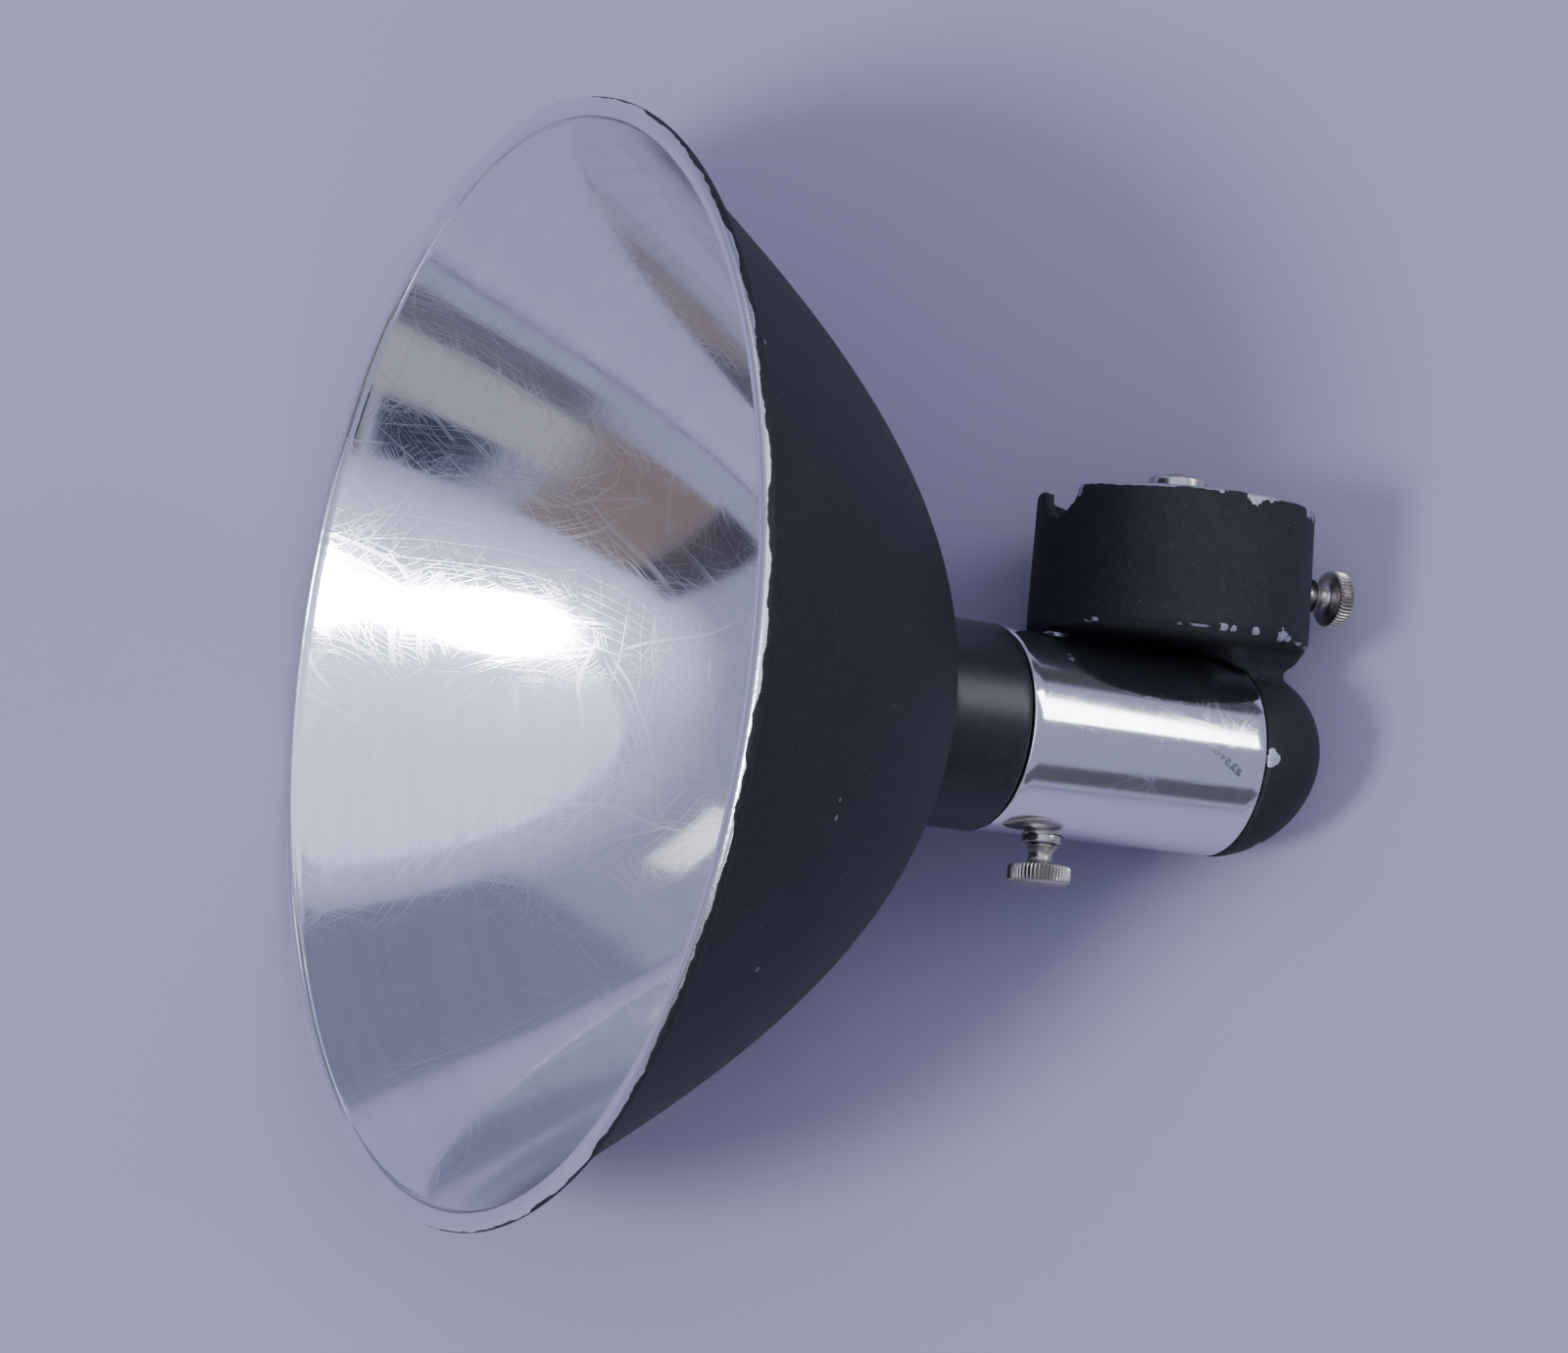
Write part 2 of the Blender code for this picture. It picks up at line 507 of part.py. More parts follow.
add("barrel_thumb_screw", turned(prof, 22, "Z"), M_NICKEL, at=(SCREW_X, 0, 0))

# ---------------------------------------------------------------- collar thumb screw
# built along its own +Z, then turned to point backward
prof = thumb_screw(CLAMP_HEAD_R, 36, COLLAR_BORE - 0.1, CLAMP_SHANK_R, COLLAR_R + CLAMP_OUT + 0.9, 1.85,
                   COLLAR_R + CLAMP_OUT + 4.0, 3.0, 1.4)
add("collar_thumb_screw", turned(prof, 20, "Z"), M_NICKEL, at=(0, 0, CLAMP_Z), turn=(0, -90, 0))
pad_out = COLLAR_BORE - 0.1 - GAP
CLAMP_PAD_R = 2.2
prof = [(pad_out - 1.3, 0), (pad_out - 1.3, CLAMP_PAD_R - 0.3), (pad_out - 1.0, CLAMP_PAD_R),
        (pad_out, CLAMP_PAD_R), (pad_out, 0)]
add("collar_pressure_pad", turned(prof, 24, "Z"), M_BRASS, at=(0, 0, CLAMP_Z), turn=(0, -90, 0))

# ---------------------------------------------------------------- barrel fixing screws
for i, a in enumerate(FIX_ANGLES):
    h = BARREL_R_REAR + 0.35
    p = [(SPIGOT_BORE + 0.4, 0), (SPIGOT_BORE + 0.4, FIX_R - 0.25), (SPIGOT_BORE + 0.7, FIX_R), (h, FIX_R),
         (h, 2.0), (h + 0.55, 1.9), (h + 0.95, 1.3), (h + 1.05, 0)]
    body = turned(p, 14, "Z")
    slot_cut = block((-3, -0.22, h + 0.6), (3, 0.22, h + 3))
    body = combine(body, [("DIFFERENCE", slot_cut)])
    add("barrel_fixing_screw_%d" % (i + 1), body, M_STEEL, at=(FIX_X, 0, 0), turn=(-a, 0, 0))

# ---------------------------------------------------------------- lamp socket
HOLDER_BORE = SOCKET_R + GAP
HOLDER_R = HOLDER_BORE + HOLDER_WALL
holder_rear = SPIGOT_FRONT + GAP
prof = [(holder_rear, HOLDER_BORE), (holder_rear, SPIGOT_R - GAP), (holder_rear + 2.0, SPIGOT_R - GAP),
        (holder_rear + 2.0, HOLDER_R + 1.0), (holder_rear + 3.0, HOLDER_R), (SOCKET_REAR + 3.2, HOLDER_R),
        (SOCKET_REAR + 3.8, HOLDER_R - 0.6), (SOCKET_REAR + 3.8, HOLDER_BORE)]
tools = []
SET_X = SOCKET_REAR - 2.0
SET_R = 1.15
tools.append(("DIFFERENCE", cylinder(SET_R + GAP, HOLDER_BORE - 4, HOLDER_R + 3, "Y", 16, (SET_X, 0))))
add("socket_holder", combine(turned(prof, 32), tools), M_FIBRE)
p = [(SOCKET_R + 0.2, 0), (SOCKET_R + 0.2, SET_R - 0.35), (SOCKET_R + 0.5, SET_R), (HOLDER_R - 0.3, SET_R), (HOLDER_R - 0.3, 0)]
driver_slot = block((-2, -0.2, HOLDER_R - 1.0), (2, 0.2, HOLDER_R + 1))
body = combine(turned(p, 16, "Z"), [("DIFFERENCE", driver_slot)])
add("socket_set_screw", body, M_STEEL, at=(SET_X, 0, 0), turn=(-90, 0, 0))

shell_rear = SOCKET_REAR - 6.0
prof = [(shell_rear, SOCKET_BORE), (shell_rear, SOCKET_R), (SOCKET_FRONT - 1.2, SOCKET_R),
        (SOCKET_FRONT - 0.5, SOCKET_R + 0.35), (SOCKET_FRONT, SOCKET_R + 0.3), (SOCKET_FRONT, SOCKET_BORE + 0.3),
        (SOCKET_FRONT - 0.6, SOCKET_BORE)]
tools = []
for side in (1, -1):
    lead_in = block((SOCKET_FRONT - 6.8, SOCKET_BORE - 1.75, -1.2), (SOCKET_FRONT + 1.5, SOCKET_R + 2.6, 1.2))
    turn_in = block((SOCKET_FRONT - 9.0, SOCKET_BORE - 2.25, -1.2), (SOCKET_FRONT - 6.6, SOCKET_R + 2.7, 4.4))
    catch = block((SOCKET_FRONT - 9.0, SOCKET_BORE - 2.35, 2.2), (SOCKET_FRONT - 5.8, SOCKET_R + 2.8, 4.5))
    j = combine(lead_in, [("UNION", turn_in), ("UNION", catch)])
    if side < 0:
        bmesh.ops.rotate(j, cent=(0, 0, 0), matrix=Matrix.Rotation(pi, 3, "X"), verts=j.verts)
    tools.append(("DIFFERENCE", j))
add("socket_shell", combine(turned(prof, 32), tools), M_NICKEL)

ins_rear = SOCKET_REAR - 5.5
ins_r = SOCKET_BORE - GAP
prof = [(ins_rear, 1.85), (ins_rear, ins_r), (SOCKET_REAR, ins_r), (SOCKET_REAR, 3.2), (ins_rear + 2.0, 3.2),
        (ins_rear + 2.0, 1.85)]
add("socket_insulator", turned(prof, 32), M_FIBRE)

PLUNGER_TRAVEL = 2.0
tip_x = SOCKET_REAR + 5.5
prof = [(ins_rear - 1.3, 0), (ins_rear - 1.3, 1.7), (ins_rear - 0.9, 2.1), (ins_rear - GAP, 2.1), (ins_rear - GAP, 1.5),
        (tip_x - 1.9, 1.5), (tip_x - 1.9, 2.8), (tip_x - 1.0, 2.8), (tip_x - 0.35, 2.1), (tip_x, 0)]
add("centre_contact", turned(prof, 24), M_BRASS)

# coil spring between the insulator's pocket and the plunger's head
coil_r, wire_r, turns = 2.35, 0.28, 5
s0, s1 = ins_rear + 2.0 + 0.35 + wire_r, tip_x - 1.9 - 0.35 - wire_r
steps = 10
pts = []
for i in range(turns * steps + 1):
    t = i / (turns * steps)
    a = 2 * pi * turns * t
    pts.append((s0 + (s1 - s0) * t, coil_r * cos(a), coil_r * sin(a)))
add("contact_spring", tube(pts, wire_r, 5), M_SPRING, sharp=60)

prof = [(ins_rear - 0.9, 2.6), (ins_rear - 0.9, 5.4), (ins_rear - GAP, 5.4), (ins_rear - GAP, 2.6)]
tab = block((ins_rear - 0.9, 4.0, -1.1), (ins_rear - GAP, 6.9, 1.1))
add("centre_terminal", combine(turned(prof, 24), [("UNION", tab)]), M_BRASS)

# ---------------------------------------------------------------- plug in the collar
DISC_R = COLLAR_BORE - 0.4
STEM_HOLE = PLUG_STEM_R + GAP
DISC_SCREW_HEAD_R = 2.3
disc_face = DISC_TOP - DISC_THICK
land_in = PLUG_FLANGE_R + 0.6
land_out = BOSS_RING - DISC_SCREW_HEAD_R - 0.4
prof = [(DISC_TOP, STEM_HOLE), (DISC_TOP, DISC_R - 0.3), (DISC_TOP - 0.3, DISC_R), (disc_face + 0.3, DISC_R),
        (disc_face, DISC_R - 0.3), (disc_face, land_out), (disc_face - DISC_LAND, land_out - 0.2),
        (disc_face - DISC_LAND, land_in + 0.2), (disc_face, land_in), (disc_face, STEM_HOLE)]
tools = []
for a in BOSS_ANGLES:
    tools.append(("DIFFERENCE", cylinder(FIX_R + GAP, DISC_TOP - 5, DISC_TOP + 2, "Z", 16,
                                         (BOSS_RING * cos(radians(a)), BOSS_RING * sin(radians(a))))))
add("plug_disc", combine(turned(prof, 40, "Z"), tools), M_FIBRE)
head_top = disc_face - GAP
for i, a in enumerate(BOSS_ANGLES):
    p = [(CEILING_Z - 1.1, 0), (CEILING_Z - 1.1, FIX_R - 0.25), (CEILING_Z - 1.4, FIX_R), (head_top, FIX_R),
         (head_top, DISC_SCREW_HEAD_R), (head_top - 0.9, DISC_SCREW_HEAD_R - 0.1), (head_top - 1.3, 1.5),
         (head_top - 1.35, 0)]
    driver_slot = block((-3, -0.25, disc_face - 5), (3, 0.25, head_top - 0.8))
    body = combine(turned(p, 14, "Z"), [("DIFFERENCE", driver_slot)])
    add("disc_screw_%d" % (i + 1), body, M_STEEL,
        at=(BOSS_RING * cos(radians(a)), BOSS_RING * sin(radians(a)), 0), turn=(0, 0, a + 30))

flange_z = disc_face - GAP
CORE_R = 2.2                  # insulator's stem inside the plug's stem
prof = [(CEILING_Z - 1.6, CORE_R + GAP), (CEILING_Z - 1.6, PLUG_STEM_R), (flange_z, PLUG_STEM_R),
        (flange_z, PLUG_FLANGE_R), (flange_z - 1.0, PLUG_FLANGE_R), (flange_z - 1.4, PLUG_FLANGE_R - 0.4),
        (flange_z - 1.4, PLUG_R + 0.3), (flange_z - 1.7, PLUG_R), (PLUG_END + 0.9, PLUG_R),
        (PLUG_END + 0.25, PLUG_R - 0.25), (PLUG_END, PLUG_R - 0.75), (PLUG_END + 0.3, PLUG_BORE),
        (flange_z - 1.8, PLUG_BORE), (flange_z - 1.8, CORE_R + GAP)]
add("plug_shell", turned(prof, 28, "Z"), M_NICKEL)
PLUG_PIN_R = 1.0
PLUG_PIN_HEAD_R = 1.9
recess = PLUG_END + 1.5       # the pin's head sits in a recess of the insulator
prof = [(CEILING_Z - 1.3, PLUG_PIN_R + GAP), (CEILING_Z - 1.3, CORE_R), (flange_z - 2.1, CORE_R),
        (flange_z - 2.1, PLUG_BORE - GAP), (PLUG_END + 1.0, PLUG_BORE - GAP),
        (PLUG_END + 1.0, PLUG_PIN_HEAD_R + GAP), (recess, PLUG_PIN_HEAD_R + GAP), (recess, PLUG_PIN_R + GAP)]
add("plug_insulator", turned(prof, 28, "Z"), M_FIBRE)
prof = [(CEILING_Z - 0.9, 0), (CEILING_Z - 0.9, PLUG_PIN_R), (recess - GAP, PLUG_PIN_R),
        (recess - GAP, PLUG_PIN_HEAD_R), (PLUG_END + 0.1, PLUG_PIN_HEAD_R), (PLUG_END - 0.5, 1.3), (PLUG_END - 0.7, 0)]
add("plug_pin", turned(prof, 20, "Z"), M_BRASS)
nut = cylinder(PLUG_STEM_R + 2.3, DISC_TOP + GAP, DISC_TOP + GAP + 1.8, "Z", 6)
add("plug_nut", combine(nut, [("DIFFERENCE", cylinder(STEM_HOLE, DISC_TOP - 5, DISC_TOP + 15, "Z", 28))]), M_BRASS)

# ---------------------------------------------------------------- leads
LEAD_R = 0.7
route = [(ins_rear - 1.9, 5.9, 0), (13, 6.2, -1.0), (4, 6.0, -2.0), (-4, 5.0, -2.0), (-11, 2.6, -4.0),
         (DUCT_X, 1.25, -10), (DUCT_X, 1.25, -15), (DUCT_X, 1.25, -19.6), (-13.0, 1.9, -22.0),
         (-9.0, 2.6, -22.4), (-7.0, 2.4, -21.6), (-4.2, 1.8, -21.3), (-2.3, 1.0, -21.2)]
add("lead_centre", tube(smooth_path(route, 2), LEAD_R, 7), M_LEAD_R, sharp=60)
route = [(shell_rear - 1.1, -7.6, 0), (13, -7.0, -1.0), (4, -6.4, -2.0), (-4, -5.0, -2.0), (-11, -2.6, -4.0),
         (DUCT_X, -1.25, -10), (DUCT_X, -1.25, -15), (DUCT_X, -1.25, -19.6), (-13.0, -2.2, -22.0),
         (-10.0, -3.2, -22.6), (-7.4, -3.4, -23.2)]
add("lead_shell", tube(smooth_path(route, 2), LEAD_R, 7), M_LEAD_B, sharp=60)

# ---------------------------------------------------------------- lay the head down
lay.rotation_euler = Euler([radians(a) for a in LAY_EULER])
bpy.context.view_layer.update()
lo, hi = Vector((1e9,) * 3), Vector((-1e9,) * 3)
for ob in bpy.data.objects:
    if ob.type != "MESH":
        continue
    m = ob.matrix_world
    for v in ob.data.vertices:
        w = m @ v.co
        for i in range(3):
            lo[i], hi[i] = min(lo[i], w[i]), max(hi[i], w[i])
lay.location = (-(lo.x + hi.x) / 2, -(lo.y + hi.y) / 2, -lo.z)
bpy.context.view_layer.update()
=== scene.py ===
from math import atan2, cos, hypot, pi, radians, sin

import bmesh
import bpy
from mathutils import Euler, Matrix, Vector


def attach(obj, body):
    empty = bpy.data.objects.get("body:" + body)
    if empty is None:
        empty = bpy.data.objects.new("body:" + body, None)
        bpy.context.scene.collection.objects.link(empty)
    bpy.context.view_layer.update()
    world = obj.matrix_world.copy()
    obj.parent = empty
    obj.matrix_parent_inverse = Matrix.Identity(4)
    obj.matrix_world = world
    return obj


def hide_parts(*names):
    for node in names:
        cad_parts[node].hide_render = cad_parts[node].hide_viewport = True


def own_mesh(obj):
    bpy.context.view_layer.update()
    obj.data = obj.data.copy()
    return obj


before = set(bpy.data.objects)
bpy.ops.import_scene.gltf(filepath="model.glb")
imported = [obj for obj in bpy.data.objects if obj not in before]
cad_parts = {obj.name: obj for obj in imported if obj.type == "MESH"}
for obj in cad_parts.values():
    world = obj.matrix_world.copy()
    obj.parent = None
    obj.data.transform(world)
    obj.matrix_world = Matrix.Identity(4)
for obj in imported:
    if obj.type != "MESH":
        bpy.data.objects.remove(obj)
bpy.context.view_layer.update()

scene = bpy.context.scene
mm = 0.001

# Shapes are made in the head's own axes, in millimetres: +X out of the bowl along the barrel,
# -Z out of the collar's open end, +Y the far side. headToWorld lays them down as the frame lies.
headLay = {"turn": (-95.38, -28.73, 178.30), "barrelRear": -11.0}
layTurn = Euler([radians(a) for a in headLay["turn"]]).to_matrix()


def lowHigh(points):
    low = Vector([min(p[i] for p in points) for i in range(3)])
    high = Vector([max(p[i] for p in points) for i in range(3)])
    return low, high


barrelLow, barrelHigh = lowHigh([layTurn.transposed() @ v.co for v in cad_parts["barrel"].data.vertices])
headCentre = layTurn @ Vector((barrelLow.x - headLay["barrelRear"] * mm,
                               (barrelLow.y + barrelHigh.y) / 2, (barrelLow.z + barrelHigh.z) / 2))
headToWorld = Matrix.Translation(headCentre) @ layTurn.to_4x4() @ Matrix.Scale(mm, 4)
worldToHead = headToWorld.inverted()


def headBox(node):  # lowest and highest corner of a frame node, in head axes and mm
    return lowHigh([worldToHead @ v.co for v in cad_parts[node].data.vertices])


def middle(node):
    low, high = headBox(node)
    return (low + high) / 2


def shift(x, y=0.0, z=0.0):
    return Matrix.Translation((x, y, z))


def spinBy(angle, axis):  # degrees
    return Matrix.Rotation(radians(angle), 4, axis)


alongX = Matrix.Identity(4)
alongZ = spinBy(-90, "Y")      # a shape turned about X stands on Z
alongBack = spinBy(180, "Z")   # and points backward, along -X


# ---- shapes
weldDistance = 0.0004
offSeam = 0.37     # turns a rod's facets, by this share of one, off the seam of what it cuts


def dropLoose(bm):
    bmesh.ops.remove_doubles(bm, verts=bm.verts[:], dist=weldDistance)
    bmesh.ops.dissolve_degenerate(bm, edges=bm.edges[:], dist=weldDistance / 2)
    bmesh.ops.recalc_face_normals(bm, faces=bm.faces[:])
    return bm


def turned(outline, steps=96, roundSteps=4):
    # outline: (along, radius, rounding) for each corner; it closes on itself, or along the axis
    bm = bmesh.new()
    corners = [bm.verts.new((c[0], 0, c[1])) for c in outline]
    bm.faces.new(corners)
    for vert, corner in zip(corners, outline):
        if len(corner) > 2:
            bmesh.ops.bevel(bm, geom=[vert], offset=corner[2], segments=roundSteps, profile=0.5,
                            affect="VERTICES", material=-1)
    bmesh.ops.delete(bm, geom=bm.faces[:], context="FACES_ONLY")
    onAxis = [e for e in bm.edges if all(abs(v.co.z) < 1e-5 for v in e.verts)]
    bmesh.ops.delete(bm, geom=onAxis, context="EDGES")
    bmesh.ops.spin(bm, geom=bm.verts[:] + bm.edges[:], cent=(0, 0, 0), axis=(1, 0, 0), dvec=(0, 0, 0),
                   angle=2 * pi, steps=steps, use_merge=True)
    return dropLoose(bm)


def rod(radius, low, high, matrix=alongZ, steps=48):
    bm = bmesh.new()
    bmesh.ops.create_cone(bm, cap_ends=True, segments=steps, radius1=radius, radius2=radius, depth=high - low)
    facet = Matrix.Rotation(offSeam * 2 * pi / steps, 3, "Z")
    bmesh.ops.rotate(bm, verts=bm.verts[:], cent=(0, 0, 0), matrix=facet)
    bmesh.ops.translate(bm, verts=bm.verts[:], vec=(0, 0, (low + high) / 2))
    bmesh.ops.transform(bm, verts=bm.verts[:], matrix=matrix @ alongZ.inverted())
    return bm


def roundEdges(bm, edges, rounding, steps=3):
    bmesh.ops.bevel(bm, geom=edges, offset=rounding, segments=steps, profile=0.5, affect="EDGES", material=-1)


def bar(low, high, rounding=0.0, steps=3, which=None):
    bm = bmesh.new()
    bmesh.ops.create_cube(bm, size=1.0)
    size = [high[i] - low[i] for i in range(3)]
    bmesh.ops.scale(bm, verts=bm.verts[:], vec=size)
    bmesh.ops.translate(bm, verts=bm.verts[:], vec=[(high[i] + low[i]) / 2 for i in range(3)])
    if rounding:
        edges = [e for e in bm.edges if which is None or which(e)]
        roundEdges(bm, edges, rounding, steps)
    return bm


def upright(edge):
    return abs(edge.verts[0].co.z - edge.verts[1].co.z) > 1


def moved(bm, matrix):
    bmesh.ops.transform(bm, verts=bm.verts[:], matrix=matrix)
    return bm


def looseObject(bm):
    mesh = bpy.data.meshes.new("work")
    dropLoose(bm).to_mesh(mesh)
    bm.free()
    made = bpy.data.objects.new("work", mesh)
    scene.collection.objects.link(made)
    return made


def evaluatedMesh(thing):  # a mesh with the object's modifiers, or its curve, worked out
    return bpy.data.meshes.new_from_object(thing.evaluated_get(bpy.context.evaluated_depsgraph_get()))


def joined(base, tools):
    # tools: pairs of a Boolean operation and a shape, used up in turn
    body = looseObject(base)
    for operation, tool in tools:
        other = looseObject(tool)
        step = body.modifiers.new("step", "BOOLEAN")
        step.operation = operation
        step.solver = "EXACT"
        step.object = other
        body.data = evaluatedMesh(body)
        body.modifiers.clear()
        bpy.data.objects.remove(other)
    bm = bmesh.new()
    bm.from_mesh(body.data)
    bpy.data.objects.remove(body)
    bmesh.ops.remove_doubles(bm, verts=bm.verts[:], dist=weldDistance)
    return bm


def cutBy(base, *cutters):
    return joined(base, [("DIFFERENCE", cutter) for cutter in cutters])


def cast(bm, grain, soften, corners, cornerSoften):
    # one skin over a joined shape, smoothed as a casting is, and more where corners(point) says so
    body = looseObject(bm)
    skin = body.modifiers.new("skin", "REMESH")
    skin.mode = "VOXEL"
    skin.voxel_size = grain
    skin.adaptivity = 0.0
    out = bmesh.new()
    out.from_mesh(evaluatedMesh(body))
    bpy.data.objects.remove(body)
    near = [v for v in out.verts if corners(v.co)]
    for verts, rounds in ((near, cornerSoften), (out.verts[:], soften)):
        for _ in range(rounds):
            bmesh.ops.smooth_vert(out, verts=verts, factor=0.5, use_axis_x=True, use_axis_y=True,
                                  use_axis_z=True)
    return out


def wire(name, points, radius, around=6, steps=4):
    # round wire through points in head axes; the curve is made a mesh
    curve = bpy.data.curves.new(name, "CURVE")
    curve.dimensions = "3D"
    curve.bevel_depth = radius
    curve.bevel_resolution = around
    curve.use_fill_caps = True
    line = curve.splines.new("NURBS")
    line.points.add(len(points) - 1)
    for point, place in zip(line.points, points):
        point.co = (*place, 1.0)
    line.use_endpoint_u = True
    line.order_u = 4
    line.resolution_u = steps
    guide = bpy.data.objects.new(name, curve)
    scene.collection.objects.link(guide)
    bm = bmesh.new()
    bm.from_mesh(evaluatedMesh(guide))
    bpy.data.objects.remove(guide)
    return dropLoose(bm)


def knurl(bm, teeth, depth, low, high, radius):
    # straight teeth cut in a head that is turned about X; "groove" says how deep a point lies
    groove = bm.verts.layers.float.new("groove")
    band, flatten = depth * 1.6, 1.25
    for v in bm.verts:
        r = hypot(v.co.y, v.co.z)
        if low < v.co.x < high and r > radius - band:
            cut = 0.5 - 0.5 * cos(atan2(v.co.z, v.co.y) * teeth)
            cut = min(cut * flatten, 1.0)
            share = min(1.0, max(0.0, (r - radius + band) / band))
            v[groove] = cut * share
            scale = (r - depth * cut * share) / r
            v.co.y *= scale
            v.co.z *= scale
    return bm


movingBody = {"reflectorBowl": "reflector", "reflectorNeck": "reflector", "bowlRingNut": "reflector",
              "barrelPressurePad": "barrel_pad", "barrelThumbScrew": "barrel_screw",
              "collarPressurePad": "collar_pad", "collarThumbScrew": "collar_screw",
              "centreContact": "contact"}     # every other piece is the housing's


def nodeOf(name):  # the frame node a piece stands in for: "discScrew1" for "disc_screw_1"
    node = "".join("_" + c.lower() if c.isupper() or c.isdigit() else c for c in name)
    return "barrel" if node == "barrel_tube" else node


def addPiece(name, bm, materials, matrix=None, sharp=38.0, slotOf=None):
    if matrix is not None:
        moved(bm, matrix)
    bmesh.ops.recalc_face_normals(bm, faces=bm.faces[:])
    if slotOf:
        for f in bm.faces:
            f.material_index = slotOf(f.calc_center_median())
    moved(bm, headToWorld)
    mesh = bpy.data.meshes.new(name)
    bm.to_mesh(mesh)
    bm.free()
    for m in materials if isinstance(materials, list) else [materials]:
        mesh.materials.append(m)
    mesh.shade_smooth()
    mesh.set_sharp_from_angle(angle=radians(sharp))
    made = bpy.data.objects.new(name, mesh)
    scene.collection.objects.link(made)
    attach(made, movingBody.get(name, "housing"))
    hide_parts(nodeOf(name))
    return made


# ---- materials: small helpers, then effects that several finishes share
def feed(tree, socket, value):  # a link from another node, or a constant
    if isinstance(value, bpy.types.NodeSocket):
        tree.links.new(value, socket)
    else:
        socket.default_value = value


def put(tree, kind, values=None, **settings):
    made = tree.nodes.new("ShaderNode" + kind)
    for key, value in settings.items():
        setattr(made, key, value)
    for key, value in (values or {}).items():
        feed(tree, made.inputs[key], value)
    return made


def calc(tree, operation, *values):
    return put(tree, "Math", dict(enumerate(values)), operation=operation).outputs[0]


def times(tree, first, second):
    return calc(tree, "MULTIPLY", first, second)


def plus(tree, first, second):
    return calc(tree, "ADD", first, second)


def minus(tree, first, second):
    return calc(tree, "SUBTRACT", first, second)


def most(tree, first, second):
    return calc(tree, "MAXIMUM", first, second)


def scaledSum(tree, value, scale, base):
    return calc(tree, "MULTIPLY_ADD", value, scale, base)


def ramp(tree, value, low, high, toLow=0.0, toHigh=1.0):
    values = {"Value": value, "From Min": low, "From Max": high, "To Min": toLow, "To Max": toHigh}
    return put(tree, "MapRange", values, interpolation_type="SMOOTHSTEP", clamp=True).outputs["Result"]


def noise(tree, vector, scale, detail=3.0, roughness=0.5, lacunarity=2.0, kind="FBM"):
    values = {"Vector": vector, "Scale": scale, "Detail": detail, "Roughness": roughness,
              "Lacunarity": lacunarity}
    return put(tree, "TexNoise", values, noise_type=kind, normalize=True).outputs["Fac"]


def flatNoise(tree, vector, scale):
    values = {"Vector": vector, "Scale": scale, "Detail": 1.0}
    return put(tree, "TexNoise", values, noise_dimensions="2D").outputs


def scaled(tree, vector, by):
    return put(tree, "VectorMath", {0: vector, "Scale": by}, operation="SCALE").outputs[0]


def mixValue(tree, share, first, second):
    return put(tree, "Mix", {"Factor": share, 2: first, 3: second}).outputs[0]


def mixColor(tree, share, first, second):
    made = put(tree, "Mix", {"Factor": share}, data_type="RGBA")
    for socket, value in ((made.inputs[6], first), (made.inputs[7], second)):
        feed(tree, socket, (*value, 1.0) if isinstance(value, tuple) else value)
    return made.outputs[2]


def summed(tree, base, *parts):  # parts: a value and its scale
    for value, scale in parts:
        base = scaledSum(tree, value, scale, base)
    return base


def coated(tree, color, *coats):  # coats: a mask and the colour it lays over what is under it
    for mask, coat in coats:
        color = mixColor(tree, mask, color, coat)
    return color


def newEffect(name, inputs, floats, vectors=()):
    # inputs: a number for a float with that default, None for a vector
    tree = bpy.data.node_groups.new(name, "ShaderNodeTree")
    for label, value in inputs.items():
        kind = "NodeSocketVector" if value is None else "NodeSocketFloat"
        socket = tree.interface.new_socket(label, in_out="INPUT", socket_type=kind)
        if value is not None:
            socket.default_value = value
    for labels, kind in ((floats, "NodeSocketFloat"), (vectors, "NodeSocketVector")):
        for label in labels:
            tree.interface.new_socket(label, in_out="OUTPUT", socket_type=kind)
    return tree, tree.nodes.new("NodeGroupInput").outputs, tree.nodes.new("NodeGroupOutput").inputs


def effect(tree, group, **values):
    return put(tree, "Group", values, node_tree=group).outputs


def wear(tree, group, head, **values):  # a one-output effect laid over a finish
    return effect(tree, group, point=head["point"], **values)[0]


def makeHeadPlace():
    # the point in head axes and mm, its distances and places along the barrel and the collar, and
    # the surface laid flat as seen along the barrel and as unrolled round it
    tree, _, made = newEffect("headPlace", {}, ("fromBarrel", "fromCollar", "alongBarrel", "alongCollar"),
                              ("point", "seenAlong", "unrolled"))
    meanRadius = 16.4
    turnBack = layTurn.transposed()
    values = {"Vector": put(tree, "TexCoord").outputs["Object"], "Location": -(turnBack @ headCentre) / mm,
              "Rotation": turnBack.to_euler(), "Scale": (1 / mm, 1 / mm, 1 / mm)}
    point = put(tree, "Mapping", values, vector_type="POINT").outputs["Vector"]
    x, y, z = put(tree, "SeparateXYZ", {"Vector": point}).outputs
    squareX, squareY, squareZ = (times(tree, s, s) for s in (x, y, z))
    roll = times(tree, calc(tree, "ARCTAN2", z, y), meanRadius)
    for label, value in {
            "point": point, "alongBarrel": x, "alongCollar": z,
            "fromBarrel": calc(tree, "SQRT", plus(tree, squareY, squareZ)),
            "fromCollar": calc(tree, "SQRT", plus(tree, squareX, squareY)),
            "seenAlong": put(tree, "CombineXYZ", {"X": y, "Y": z}).outputs[0],
            "unrolled": put(tree, "CombineXYZ", {"X": roll, "Y": x}).outputs[0]}.items():
        feed(tree, made[label], value)
    return tree


